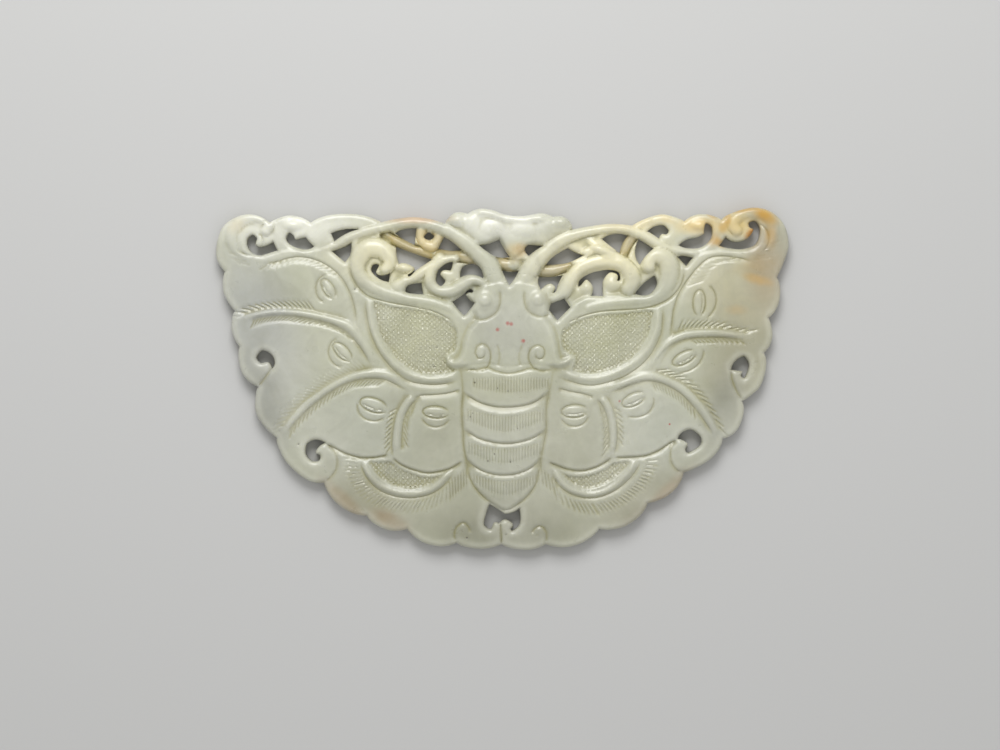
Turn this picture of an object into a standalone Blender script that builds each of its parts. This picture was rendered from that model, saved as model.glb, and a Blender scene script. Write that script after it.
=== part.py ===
"""Jade carving of a butterfly: one thin openwork plaque, flat on its back, carved on its front.

It lies on its back with the head and feelers towards +Y. The origin is under the middle of the plaque.
"""
import math

import bmesh
import bpy
import numpy as np
from mathutils import Vector, kdtree
from mathutils.geometry import delaunay_2d_cdt

# Driving sizes, in metres
WIDTH = 0.120
RIM_TOP = 0.0034
BODY_TOP = 0.0046
BAY_TOP = 0.0034
LEAST_TOP = 0.0013
EDGE_FALL = 0.0012
BACK_FALL = 0.0005
ABDOMEN_RISE = 0.0012
ABDOMEN_GROOVE = 0.0004
HEAD_RISE = 0.0008
CLOUD_RISE = 0.0010
PANE_DEPTH = 0.0006
EYE_DEPTH = 0.0003
LID_DEPTH = 0.00024

# Widths across the plan, in plan units of about a fifth of a millimetre
SWELL_WIDTH = 130
BAY_SLOPE = 5
EDGE_ROUND = 6
BACK_ROUND = 3
ABDOMEN_ROUND = 32
HEAD_SLOPE = 7
CLOUD_ROUND = 11
STEM_ROUND = 0.8
STEM_FOOT = 1.3
LID_SHARE = (0.8, 0.45)
LID_END = 10
LENS_WIDTH = 2.2
LID_WIDTH = 1.8
HOOD_WIDTH = 3
GROOVE_WIDTH = 4
SCROLL_WIDTH = 2.4
PANE_SLOPE = 3
FADE_SHARE = 0.12
FADE_START = 0.15

# Fineness of the solid, in plan units
EDGE_SLACK = 0.45
LONGEST_EDGE = 11
LINE_SLACK = 0.7
LONGEST_LINE = 12
FINE_STEP = 6.5
BROAD_STEP = 9.5
FINE_BELOW = 325
MARK_STEP = 0.7
MERGE = 0.05
LINE_CLEAR = 3.2
SHOULDER_INSET = 3.0
SHOULDER_STEP = 3.6
SHOULDER_CLEAR = 2.4
CLOSEST_SHARE = 0.62
ROOM_SHARE = 0.8
BACK_ROW_STEP = 4.8

# Look
SHARP_ANGLE = 40
JADE_COLOUR = (0.60, 0.62, 0.50, 1)
JADE_ROUGHNESS = 0.32

# The plan is drawn in the photograph's own pixels, x to the right and y down, and scaled to WIDTH.
PLAN_CENTRE = (502.4, 378.85)
PLAN_WIDTH = 571.8
UNIT = WIDTH / PLAN_WIDTH

# Each lobe of the scalloped edge starts at its notch and runs through its crown to the next notch.
EDGE_LOBES = [
    [(225.2, 271.8), (217.7, 260.8), (216.5, 249), (219.6, 234.6), (226.2, 223.8), (240.8, 215.8),
     (256, 215.4)],
    [(270.4, 223), (280, 217.7), (290, 215.6), (302, 217.8)],
    [(310.9, 222.9), (325, 216.3), (344, 214), (363.5, 215.6)],
    [(381.5, 222.4), (398, 218.8), (413.5, 217.3), (430, 219.3)],
    [(445, 224), (448.2, 218.6), (456, 212.7)],
    [(467.7, 214), (478.5, 209.2), (492, 210.3), (506, 215.2), (522, 216.4), (540.8, 213.7)],
    [(553, 217), (564, 217.3), (570.4, 223)],
    [(572, 229.7), (590.8, 226.3), (610, 224)],
    [(632, 225.7), (645.4, 218.8), (661, 214.5), (674, 217)],
    [(683.8, 221.5), (694.6, 215.2), (705.4, 214.4), (716, 217.2)],
    [(721.2, 220.1), (731.5, 213.2), (753, 207.9), (770.8, 211.9), (783.8, 225), (788.3, 243),
     (785.5, 257)],
    [(776.7, 277.5), (780, 291), (777, 307)],
    [(768.4, 318), (772.3, 334.2), (769.4, 345.5)],
    [(763.7, 352.8), (765.9, 366.2), (760.4, 385.4), (751, 395)],
    [(741.9, 401.2), (743.3, 414), (736, 431)],
    [(722.5, 438.6), (717.7, 450.8), (706, 462)],
    [(683.5, 472.6), (678.2, 485), (666, 496.5)],
    [(647.5, 503.2), (640, 515.5), (625, 526), (610, 529.4)],
    [(599.5, 528.7), (584.6, 541.2), (565, 547)],
    [(545.4, 544), (532, 549.2), (514.6, 548.6)],
    [(501.5, 544.2), (483.8, 548.6), (466, 546.8)],
    [(456.9, 542.5), (440, 546.1), (421, 541)],
    [(407.2, 528.8), (391, 530.4), (375.4, 524.2)],
    [(366.9, 515.4), (351, 512.2), (334.2, 500.4)],
    [(324, 482.5), (306.5, 479.2), (288, 463.5), (279.2, 448.5)],
    [(277, 438), (263, 424.5), (255.8, 410.8), (256, 395)],
    [(258.5, 387), (244, 376), (239, 360)],
    [(239.8, 347), (232.3, 331.9), (232.5, 318)],
    [(235.3, 311.2), (225, 296), (223.1, 283)],
]

# Each opening is a loop of sides. A side starts at a corner and bends through its other points.
OPENINGS = {
    "left volute": [[(273.5, 242.2)], [(277.5, 250.4), (268.5, 253.5), (260, 255.5), (252, 252.5),
                                       (247.7, 246), (248, 239), (252.7, 235.2), (257, 238.5),
                                       (256, 244.6), (260, 247.1), (267, 245.6)]],
    "left comma": [[(306, 237.5), (310, 242.5)], [(314.2, 246.5), (305.4, 249.5), (292.3, 245.8),
                                                  (286.5, 239.5), (289.2, 233.1), (293.3, 235.5),
                                                  (295.8, 239.6), (300.5, 238.5)]],
    "left slit": [[(331.5, 233.5), (344, 229.6)], [(358.1, 229.5), (346, 234)], [(334.6, 241.5)]],
    "left wedge": [[(332.3, 251.5), (343, 247.5)], [(351.5, 243.1), (350.5, 254)], [(345.2, 262.3),
                                                                                    (338, 256.4)]],
    "left scroll": [[(390.4, 273.3)], [(388.8, 281.9), (378.8, 278.5), (371.6, 271), (373.5, 264.8),
                                       (379, 265.4), (376.2, 272.5), (381, 275.6)]],
    "under left stem": [[(396.2, 246.9), (413, 253)], [(432.1, 259.8), (417.3, 270), (410.5, 276.3)],
                        [(408.1, 275), (414.5, 268.5), (406.5, 263.6)], [(398.8, 264.1), (396.8, 255)]],
    "left foot": [[(421.5, 283.1)], [(423.1, 294.2), (408.5, 293.1), (405.8, 290), (409, 285.2)]],
    "over left stem": [[(395.2, 233.5), (404, 229.2)], [(416.5, 228.5), (415.4, 238)], [(414.8, 244.6),
                                                                                        (404.2, 239.6)]],
    "left ring": [[(424.2, 236.5), (428.5, 232.5), (433.7, 235.8), (431, 239.8), (426, 239.2),
                   (424.2, 236.5)]],
    "left of the cloud": [[(444.2, 237.3), (453.1, 242.7)], [(461.2, 250), (450, 250.5)], [(438.3, 248.5),
                                                                                           (441, 243)]],
    "left leaf hook": [[(452.7, 262.1), (452, 267)], [(450.4, 270.8), (443, 270.6), (440.5, 275),
                                                      (445.2, 281), (440.8, 286.2), (436.4, 281),
                                                      (438, 271), (445, 264.5)]],
    "left arch": [[(460.4, 277.7), (462.5, 267.5), (471.9, 263.9), (480, 267.8)], [(483.3, 278.5),
                                                                                   (471, 274.6)]],
    "left diamond": [[(452.7, 301.9), (462, 295.6), (469.2, 289.6)], [(473.3, 291.5)], [(472, 292.9),
                                                                                        (468.5, 292.6)],
                     [(465.8, 295), (469, 299)], [(474.8, 303.1), (470, 309.5)], [(464.2, 315.8),
                                                                                  (457.5, 308.5)]],
    "under the cloud": [[(479.2, 245.4), (488, 244)], [(499.2, 239.6), (504, 248.5)], [(509.8, 257.3),
                                                                                       (497, 257),
                                                                                       (487.5, 252)]],
    "between the antennae": [[(502.3, 270.2), (510.5, 271.8)], [(518.5, 270.9), (514, 279.5)],
                             [(509.2, 285.5), (505, 277)]],
    "right of the cloud": [[(542.7, 246.2), (535, 251)], [(528.8, 256), (524.8, 250), (528, 245.3),
                                                          (535, 245.5)]],
    "under right antenna": [[(568.1, 248.3), (576, 252.8)], [(583.5, 255.5), (570, 262), (558, 264.2)],
                            [(546.5, 264.5), (554, 256.2)]],
    "right arch": [[(539.2, 276.7), (550, 276.9)], [(562.5, 275.5), (558, 284.5), (556, 291)],
                   [(553, 292.7), (555, 287), (549.2, 283.8)], [(540.8, 289.8), (538.2, 283)]],
    "right diamond": [[(564.2, 298.8)], [(570.2, 307.3)], [(557.3, 320.4)], [(549, 310.2)],
                      [(551.2, 303.5)]],
    "mushroom": [[(578.5, 286.9), (580.8, 279.2), (592, 272.8), (607.7, 270), (618, 272.3),
                  (619.8, 279.5)], [(616.9, 280.6), (617, 274.5), (609.2, 272.8), (603, 281),
                                    (602.5, 290)], [(602.8, 296.3)], [(591, 295.8), (592.8, 287),
                                                                      (586.5, 279.8), (581, 285)]],
    "right fan": [[(601.7, 239.1), (614, 234)], [(627.8, 235.6), (622.5, 243.5)], [(619.6, 253.1),
                                                                                   (610, 246)]],
    "right petal gap": [[(638.5, 239.1), (646.5, 244)], [(653.2, 248.8), (645.5, 256)], [(639.6, 264.8),
                                                                                         (635, 253.5)]],
    "right bean": [[(647.3, 231.5), (655, 226.3), (663, 225.4), (668.3, 230.5), (666.3, 234.4),
                    (661.5, 234.3)], [(658.8, 238.8), (653, 234.8)]],
    "right comma": [[(678.7, 245.4), (687, 239.7), (697, 237.4)], [(703.8, 233.5), (705.5, 223.8),
                                                                   (711.5, 227.5), (710.5, 239),
                                                                   (700.8, 247.3), (688, 248.4)]],
    "right volute": [[(719.1, 245.8)], [(725.4, 237.5), (735, 241.9), (746.2, 239.2), (753, 230.5),
                                        (749.2, 227.3)], [(748.5, 223.2), (755.8, 221.9), (759.7, 231),
                                                          (755.4, 244.2), (742, 249.2), (728, 248.2)]],
    "right wedge": [[(677.7, 257.3), (683, 256)], [(692.3, 257.9)], [(685.8, 266.2)]],
    "right half moon": [[(635, 293.8), (643, 284)], [(654.2, 275.8), (656.3, 285.5), (648, 294.8)]],
    "left crescent": [[(272.5, 368.3), (268.5, 362.2), (261, 362.9), (257, 357.5), (262.7, 350.6),
                       (271.5, 354.3), (275, 362)]],
    "lower left crescent": [[(325.4, 442.7), (316, 439.6), (307.5, 443.8), (306, 454), (312, 460.8),
                             (319.2, 460.4), (320.5, 455.3), (316, 452.5), (319, 446.8)]],
    "right crescent": [[(730.8, 369.6), (735, 361.2), (743.8, 356.5), (748.7, 365), (745, 376.9),
                        (741, 376.5)], [(742.3, 371.4)]],
    "lower right crescent": [[(677.5, 438.8), (682.3, 431.9), (691, 429.6), (700, 436.5), (700, 445),
                              (688.5, 452.5), (685.2, 449.3), (687.4, 443.8), (682.5, 440)]],
    "tail": [[(489.6, 504), (497, 508.4)], [(504.5, 513.6), (512, 512.4)], [(519.2, 508.5), (519.8, 523),
                                                                            (513.5, 530)], [(510.8, 528.5),
                                                                                            (512.6, 523.5),
                                                                                            (505.4, 519.2)],
             [(499.2, 523.1), (494, 522.6), (490.5, 528.8), (484.3, 524.5), (486, 514)]],
}

# Cut lines: points, width of the slope left and right of the line in plan units, depth in metres.
CUTS = {
    "left vein 1 top": ([(238, 318), (258, 311.5), (282, 309.5), (305, 310.5), (327, 315), (350, 320.5)],
                        12, 2.5, 0.00036),
    "left vein 1 foot": ([(247, 321), (265, 316), (285, 315), (308, 318), (330, 323.5), (348, 333),
                          (360, 347), (372, 366)], 2.5, 12, 0.00036),
    "left shoulder": ([(262, 264), (276, 262.5), (288, 259), (300, 257.5), (313, 259.5), (326, 265),
                       (338, 274), (347, 286), (353, 300), (356, 313), (356.5, 326)], 2.5, 7, 0.0004),
    "left band foot": ([(350.5, 264), (352, 275), (356.5, 285), (363, 292), (371, 297.5), (386, 302),
                        (402, 305), (418, 308), (434, 312), (448, 319), (457, 327)], 2.5, 4, 0.0004),
    "left frame": ([(366, 299), (367, 315), (371, 333), (380, 353), (393, 369), (408, 380.5), (425, 384.5),
                    (442, 384.5), (458, 380)], 2.5, 7, 0.00036),
    "left vein 2 top": ([(281, 432), (290, 418), (302, 404), (318, 392), (335, 381), (352, 373),
                         (366, 369), (377, 368)], 12, 2.5, 0.00036),
    "left vein 2 foot": ([(285, 437), (296, 422), (310, 408), (325, 396), (340, 386.5), (355, 380.5),
                          (370, 378.5), (384, 379.5), (396, 384.5), (411, 392)], 2.5, 12, 0.00036),
    "left vein 3 outer": ([(411, 393), (402, 403), (396, 416), (393, 432), (392, 446), (394, 458)],
                          2.5, 12, 0.00036),
    "left vein 3 inner": ([(420, 397), (411, 406), (405, 418), (402.5, 434), (402, 452)], 12, 2.5, 0.0004),
    "left inner lobe top": ([(414, 398.5), (422, 395.5), (436, 394.8), (450, 393), (461, 389)],
                            2.5, 9, 0.0004),
    "left third lobe foot": ([(325, 443), (336, 448.5), (348, 454), (362, 457.5), (376, 457), (390, 454)],
                             2.5, 7, 0.0006),
    "left inner lobe foot": ([(392, 456), (400, 463.5), (412, 469), (427, 472.5), (441, 471), (453, 467),
                              (463, 460)], 2.5, 7, 0.0006),
    "left crescent frame": ([(361, 460), (366, 476), (378, 489), (394, 496), (412, 498), (428, 495),
                             (441, 488), (450, 478), (454, 469)], 2.5, 6, 0.00036),
    "left curl": ([(324, 482), (331, 477), (336.5, 469), (337.5, 459), (334, 450), (326, 443.5)],
                  3, 8, 0.00036),
    "left flange curl": ([(258.8, 386), (264, 380), (269, 373), (272.5, 368.5)], 4, 4, 0.0004),
    "right vein 1 top": ([(669, 337), (680, 331.5), (696, 329.5), (715, 329), (733, 332), (752, 333)],
                         12, 2.5, 0.00036),
    "right vein 1 foot": ([(650, 372), (655, 362), (662, 352), (672, 344), (686, 339), (705, 337.5),
                           (727, 338), (746, 340)], 2.5, 12, 0.00036),
    "right shoulder": ([(752, 262), (736, 258), (720, 256.5), (708, 259), (697, 268), (686, 282),
                        (678, 295), (673, 310), (671, 325), (669, 337)], 7, 2.5, 0.0004),
    "right band foot": ([(563, 327), (572, 321), (585, 315.5), (600, 312), (618, 310.5), (640, 309),
                         (657, 305), (670, 298), (679, 288), (683, 277), (682.5, 267)], 2.5, 4, 0.0004),
    "right frame": ([(662, 305), (662, 322), (660, 335), (652, 352), (641, 365), (625, 376), (606, 383),
                     (590, 385.5), (575, 383), (557, 376)], 7, 2.5, 0.00036),
    "right vein 2 top": ([(652, 371), (665, 376), (680, 382.5), (692, 392), (703, 405), (712, 419),
                          (719, 433)], 12, 2.5, 0.00036),
    "right vein 2 foot": ([(606, 393), (622, 388), (636, 382.5), (650, 381), (664, 384.5), (679, 393),
                           (692, 406), (703, 420), (713, 436)], 2.5, 12, 0.00036),
    "right vein 3 outer": ([(604, 394), (612, 407), (616, 421), (617, 438), (614, 454)], 12, 2.5, 0.00036),
    "right vein 3 inner": ([(596, 398), (603, 408), (607, 420), (608.5, 435), (608, 451)],
                           2.5, 12, 0.0004),
    "right inner lobe top": ([(557, 388), (570, 391.5), (583, 394), (594, 397.5)], 2.5, 9, 0.0004),
    "right third lobe foot": ([(613, 457), (628, 457), (645, 455.5), (658, 450.5), (669, 443.5),
                               (678, 439.5)], 2.5, 7, 0.0006),
    "right inner lobe foot": ([(547, 461), (556, 465), (568, 469), (581, 470.5), (594, 467.5), (605, 462),
                               (612, 456)], 2.5, 7, 0.0006),
    "right crescent frame": ([(551, 470), (557, 483), (568, 492.5), (583, 497.5), (598, 497), (614, 491),
                              (627, 481), (636, 470), (640, 459)], 2.5, 6, 0.00036),
    "right curl": ([(683, 472), (676, 469.5), (671, 462), (670, 452), (672.5, 445), (678, 440)],
                   8, 3, 0.00036),
    "right flange curl": ([(742, 400), (736, 391), (732, 381), (731, 370.5)], 4, 4, 0.0004),
    "left tail scroll": ([(456.5, 541), (454.5, 534), (457, 526.5), (463, 522.5), (468, 526), (470, 533)],
                         4, 3, 0.00035),
    "right tail scroll": ([(545, 543), (546.5, 536), (545, 529.5), (540, 526), (534.5, 528.5), (532, 534)],
                          3, 4, 0.00035),
    "tail cleft": ([(500.5, 523.5), (501, 533), (501.5, 543)], 3, 3, 0.0006),
    "first ring": ([(463, 392), (478, 402), (493, 406.5), (507, 407.5), (522, 406), (536, 401.5),
                    (549, 391)], 3.5, 16, 0.0006),
    "second ring": ([(464, 428), (477, 437.5), (492, 442), (507, 443.5), (522, 441.5), (536, 436.5),
                     (546, 428)], 3.5, 16, 0.0006),
    "third ring": ([(465, 457), (477, 468), (491, 473.5), (505, 475), (519, 473), (532, 467), (541, 456)],
                   3.5, 16, 0.0006),
    "left brow": ([(499.5, 290), (500.5, 300), (499, 308), (495, 314), (485, 319.5), (473, 318.5)],
                  3, 6, 0.0004),
    "right brow": ([(524, 291), (524, 300), (526, 308), (531, 314), (541, 317), (551, 314)], 6, 3, 0.0004),
    "mouth": ([(463, 370), (475, 369.5), (487, 367.5), (496, 371), (508, 373.5), (519, 371.5), (530, 368.5),
               (541, 370), (553, 369.5)], 3, 3, 0.0003),
    "left nostril curl": ([(470, 369), (480, 370.5), (487.5, 367), (490.5, 359), (489.5, 350),
                           (484, 344.5), (478, 346), (475.5, 352.5), (478.5, 358.5), (483.5, 357.5),
                           (485, 353), (482, 350.5)], 2.2, 2.8, 0.0003),
    "right nostril curl": ([(551, 370), (541, 371), (532.5, 367), (528.5, 359), (530, 350), (536, 345.5),
                            (542, 347), (544.5, 353), (541.5, 359), (536.5, 358), (535, 353.5),
                            (538, 351)], 2.8, 2.2, 0.0003),
    "left cheek": ([(497, 344), (499.5, 355), (498, 366)], 3, 5, 0.0002),
    "right cheek": ([(523, 344), (519, 355), (520.5, 366)], 5, 3, 0.0002),
}

# Beads: narrow raised rims, as points, half-width and rise.
BEADS = {
    "left vein 1": ([(243, 319), (264, 313.5), (284, 312), (306, 314), (330, 319), (350, 327), (363, 342),
                     (374, 362)], 5, 0.0004),
    "left pane rim": ([(370, 300), (371, 316), (375, 333), (384, 351), (396, 365), (410, 374.5),
                       (426, 379), (443, 378.8), (459, 374)], 3.4, 0.00036),
    "left vein 2": ([(283, 434), (293, 420), (306, 406), (321, 394), (337, 383.5), (354, 376.5),
                     (372, 373.5), (390, 375), (405, 383)], 5, 0.0004),
    "left vein 3": ([(414, 396), (405, 406), (399.5, 418), (397, 433), (396.5, 450)], 4, 0.00036),
    "cloud crest": ([(474, 214), (482, 211.5), (492, 213.5), (505, 217.5), (520, 219), (535, 218.5),
                     (547, 216.5)], 6, 0.0006),
    "left crescent rim": ([(364, 461), (370, 474), (381, 485), (396, 491.5), (412, 493.5), (427, 490.5),
                           (438, 484), (446, 475), (450, 469)], 3.2, 0.0004),
    "right vein 1": ([(653, 370), (659, 355), (669, 343), (683, 335.5), (700, 333), (720, 333),
                      (744, 336.5)], 5, 0.0004),
    "right pane rim": ([(657, 306), (657, 321), (654.5, 333), (648, 347.5), (637, 360), (622, 370),
                        (606, 376.5), (591, 379), (576, 377), (560, 371)], 3.4, 0.00036),
    "right vein 2": ([(610, 389), (628, 381), (647, 376), (664, 379.5), (680, 387.5), (693, 399),
                      (705, 412), (716, 434)], 5, 0.0004),
    "right vein 3": ([(600, 397), (608, 408), (612, 421), (613, 436), (611.5, 452)], 4, 0.00036),
    "right crescent rim": ([(554.5, 469), (561, 481), (571, 489), (586, 493.5), (600, 492.5), (613, 486),
                            (624, 476), (632, 466), (635, 459)], 3.2, 0.0004),
    "second ring ledge": ([(468, 403), (476, 407), (490, 412), (505, 414), (520, 412), (534, 407.5),
                           (542, 403)], 2.4, 0.00016),
    "third ring ledge": ([(469, 437), (478, 441.5), (491, 445.5), (506, 447), (521, 445), (533, 441),
                          (540, 436)], 2.4, 0.00016),
    "fourth ring ledge": ([(473, 468), (480, 473), (492, 477.5), (505, 478.5), (518, 477), (529, 472.5),
                           (536, 467)], 2.4, 0.00016),
}

# Eye spots on the wings: centre, half axes and tilt in degrees of the lens, and the line of its hood.
EYE_SPOTS = {
    "left 1": ((329, 289), (11, 5.5), 58, [(325.7, 303), (318.6, 297.3), (316.4, 287.7), (320.1, 278.7),
                                           (328, 274.6)]),
    "left 2": ((343, 352), (12, 6), 45, [(344.2, 367), (334.7, 364), (329.4, 354.6), (331.3, 344),
                                         (339.4, 337.5)]),
    "left 3": ((374, 405), (14, 7), 18, [(385.4, 416.3), (376.8, 420.8), (366.4, 419), (359.4, 412),
                                         (358.1, 402)]),
    "left 4": ((436, 412), (13, 6), 4, [(449.6, 418.3), (444, 424.7), (435.5, 427), (427.2, 424),
                                        (422, 417)]),
    "right 1": ((698.5, 303), (13, 6.3), 92, [(707, 285), (713.5, 292), (715.5, 302), (712, 312),
                                               (705, 319)]),
    "right 2": ((683.5, 358), (13, 6), -28, [(677, 373), (689, 370.5), (698, 364), (702.5, 355),
                                                 (702, 348)]),
    "right 3": ((633, 399.5), (12.5, 6.3), -25, [(626, 415.5), (637, 417), (647.5, 413), (653, 404),
                                               (652, 396)]),
    "right 4": ((574, 411), (13, 6.5), -3, [(588.5, 415), (583.6, 423), (575.3, 426.4), (566.5, 424.4),
                                            (560.4, 417.6)]),
}

# Panes: sunk fields for the netting.
PANES = {
    "left upper": [(374, 301), (395, 305.5), (415, 308), (432, 312), (447, 319), (456, 326), (459, 334),
                   (457, 350), (449, 356), (449, 364), (458, 371), (443, 375), (426, 375.5), (412, 371),
                   (399, 362), (388, 349), (379, 333), (375, 316)],
    "right upper": [(652, 309.5), (652, 322), (648, 337), (640, 350), (629, 361), (615, 369), (600, 373.5),
                    (586, 374.5), (571, 371), (574, 360), (568, 354), (561, 350), (560, 332), (570, 323),
                    (585, 316.5), (603, 313), (625, 311.5)],
    "left lower": [(368, 461), (380, 460), (392, 460), (401, 466.5), (413, 472), (427, 475.5), (441, 474),
                   (447, 471), (442, 478), (434, 484), (424, 487.5), (411, 489.5), (397, 487.5),
                   (384, 481.5), (374, 472)],
    "right lower": [(558, 469), (568, 473.5), (581, 474.5), (595, 471.5), (606, 466), (614, 461),
                    (630, 460.5), (627, 467), (618, 476), (608, 483), (596, 488), (584, 489), (573, 485),
                    (563, 477)],
}

HEAD = [(474, 318), (466, 328), (461.5, 340), (459, 351), (455.5, 357), (451, 359), (447, 352.5),
        (444.5, 355), (446, 362), (452, 368), (460, 370), (470, 369.5), (480, 369), (487, 367.5),
        (495, 370), (507, 372), (520, 370.5), (530, 368.5), (541, 370), (552, 369.5), (561, 370),
        (569, 366), (574, 359.5), (573.5, 355.5), (568, 355.5), (562, 357), (560, 350), (558.5, 340),
        (555, 328), (549, 318), (550, 308), (547, 296), (544, 286), (532, 276), (509, 274), (488, 276),
        (477, 287), (471, 299), (470, 309)]

ABDOMEN = [(461, 354), (461, 372), (463, 392), (462, 410), (463, 430), (464, 447), (467, 462), (470, 478),
           (478, 491), (489, 501), (504.5, 510), (518, 504), (530, 493), (537, 480), (540, 463),
           (543, 447), (546, 430), (546, 410), (549, 392), (553, 372), (553, 354)]

CLOUD = [(446, 223), (449, 217), (456, 212), (468, 213), (480, 208.5), (492, 209), (506, 214),
         (522, 215.5), (540, 212.5), (553, 216), (565, 217), (571, 224), (571, 230), (558, 238),
         (546, 245), (532, 244.5), (523, 252), (514, 258), (506, 250), (500, 239), (488, 244), (478, 245),
         (466, 236), (454, 228)]

# The openwork band between the wings' top edge and the rim lies lower than the wings.
BAY = [(238, 226), (250, 222), (262, 222), (300, 216), (340, 212), (400, 216), (440, 220), (500, 208),
       (560, 214), (600, 222), (632, 222), (660, 213), (700, 213), (728, 218), (752, 214), (768, 226),
       (764, 244), (752, 254), (725, 253), (700, 257), (686, 268), (672, 272), (664, 286), (650, 296.5),
       (620, 297.5), (592, 298), (572, 308), (557, 322), (548, 312), (546, 292), (520, 284), (500, 284),
       (474, 292), (474, 306), (464, 318), (451, 306), (425, 299), (405, 295), (388, 288), (372, 283),
       (360, 273), (350, 262), (330, 253), (300, 252.5), (272, 255), (250, 257), (241, 242)]

# Stems that curve through the openwork: points with half-width, and the crest height at each end in metres.
STEMS = {
    "back stem": ([(386, 235.5, 5), (400, 243.5, 5), (415, 250, 5), (430, 254.5, 6), (445, 256, 6.5),
                   (460, 256.5, 6), (475, 259.5, 5.5), (490, 263, 5.5), (505, 264.5, 6), (520, 266.5, 5.5),
                   (535, 269.5, 6), (550, 270.5, 6), (562, 267.5, 6), (575, 261.5, 6), (588, 256, 6)],
                  (0.0027, 0.0027)),
    "right back strut": ([(635, 233, 6), (628, 242, 6), (622, 254, 6)], (0.0030, 0.0030)),
    "left back hook": ([(421, 229, 6), (423, 240, 5.5), (431, 247, 5), (438, 240, 5), (437, 231, 5)],
                       (0.0036, 0.0034)),
    "cloud stem": ([(510, 240, 10), (516, 250, 9), (516, 262, 8)], (0.0040, 0.0030)),
    "left antenna": ([(503, 303, 8), (495, 281, 10), (489, 265, 9.5), (478, 252, 9), (463, 240, 8.5),
                      (447, 230.5, 7.5), (430, 224.5, 6.5), (412, 222.5, 5.5), (395, 225, 5.5),
                      (378, 229, 5), (360, 233.5, 4.8), (345, 240, 4.5), (335, 246.5, 4),
                      (324, 250.5, 3.2)], (0.0049, 0.0036)),
    "right antenna": ([(518, 303, 8), (524, 282, 10), (530, 270, 9.5), (538, 259, 9), (549, 249, 8.5),
                       (562, 240, 7.5), (577, 234.5, 6.2), (592, 231, 5.5), (606, 229.3, 5),
                       (620, 229, 4.8), (632, 231.5, 4.8), (644, 236.5, 4.8), (655, 243, 4.5),
                       (668, 249, 4.2), (682, 252.5, 3.8), (696, 254, 3.2)], (0.0049, 0.0036)),
    "left scroll band": ([(386, 270, 5), (390, 260, 8), (382, 250, 10.5), (368, 249, 10.5), (359, 259, 8),
                          (358, 271, 7), (365, 282, 7), (378, 290, 7), (395, 296, 6.5), (415, 300, 6),
                          (435, 304, 6), (452, 311, 6)], (0.0048, 0.0044)),
    "left leaf stem": ([(398, 288, 9), (408, 281, 6.5), (420, 273.5, 6), (432, 266, 5.5), (440, 259, 5)],
                       (0.0044, 0.0042)),
    "left curled leaf": ([(455, 259, 3.5), (440, 263, 4.5), (431, 272, 5), (431, 284, 5.5),
                          (440, 291, 5.5), (452, 291, 6), (463, 285, 6), (473, 280, 5), (483, 283, 4)],
                         (0.0042, 0.0048)),
    "right leaf stem": ([(556, 300, 7), (564, 291, 8), (571, 279, 6.5), (581, 268, 6.5), (596, 262, 7),
                         (611, 261.5, 7.5), (624, 266, 8), (632, 278, 9), (628, 290, 8)],
                        (0.0046, 0.0044)),
    "right scroll band": ([(648, 266, 7), (652, 257, 9), (663, 258, 10.5), (669, 268, 10.5),
                           (668, 282, 9.5), (660, 293, 7.5), (645, 299.5, 6), (625, 302, 5.5),
                           (605, 304, 5.5), (588, 308.5, 5.5)], (0.0048, 0.0044)),
    "right volute roll": ([(736, 231, 6), (733, 223, 7), (741, 214.5, 7), (755, 212.5, 7.5), (768, 219, 8),
                           (773, 232, 8), (768, 245, 7), (758, 254, 5)], (0.0042, 0.0036)),
    "left volute roll": ([(267, 231, 5.5), (269, 222, 7), (259, 217, 7), (246, 219, 8), (235, 228, 8),
                          (232, 240, 8), (238, 252, 6.5), (250, 259, 5)], (0.0042, 0.0036)),
}

# Rounded knobs and leaves: centre, half axes, tilt in degrees, rise, softness of the foot.
KNOBS = {
    "left eye": ((484.5, 301), (10, 10), 0, 0.0003, 0.6),
    "left eyeball": ((485, 300.5), (6.5, 6.5), 0, 0.0005, 0.5),
    "right eye": ((538, 300.5), (10, 10), 0, 0.0003, 0.6),
    "right eyeball": ((538, 299.5), (6.8, 6.8), 0, 0.0005, 0.5),
    "left nostril": ((482, 352), (9, 9), 0, 0.0003, 1),
    "right nostril": ((538, 352), (9, 9), 0, 0.0003, 1),
    "left beak": ((404, 268), (10, 5.5), 10, 0.0010, 1.3),
    "right shell": ((612, 284), (9, 9), 0, 0.0006, 1.3),
    "left shell": ((586, 288), (7, 7), 0, 0.0006, 1.3),
    "right fan leaf": ((600, 249), (18, 7), 35, 0.0008, 1.3),
    "cloud 1": ((457, 221), (9, 8), 0, 0.0005, 1.3),
    "cloud 2": ((472, 222), (9, 12), 0, 0.0004, 1.3),
    "cloud 3": ((492, 228), (13, 9), 0, 0.0004, 1.3),
    "cloud 4": ((524, 229), (14, 9), 0, 0.0004, 1.3),
    "cloud 5": ((545, 227), (11, 10), 0, 0.0004, 1.3),
    "cloud 6": ((561, 222), (9, 8), 0, 0.0005, 1.3),
    "left bud": ((293, 226), (11, 6), 5, 0.0006, 1.3),
    "right bud": ((700, 226), (11, 6), 0, 0.0006, 1.3),
}

# Scrolls cut as spirals: centre, first and last radius, first and last angle in degrees, depth.
SCROLLS = {
    "left volute": ((252, 240), 9, 17, -60, 150, 0.0003),
    "right volute": ((752, 236), 10, 19, -120, 60, 0.0003),
}


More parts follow.
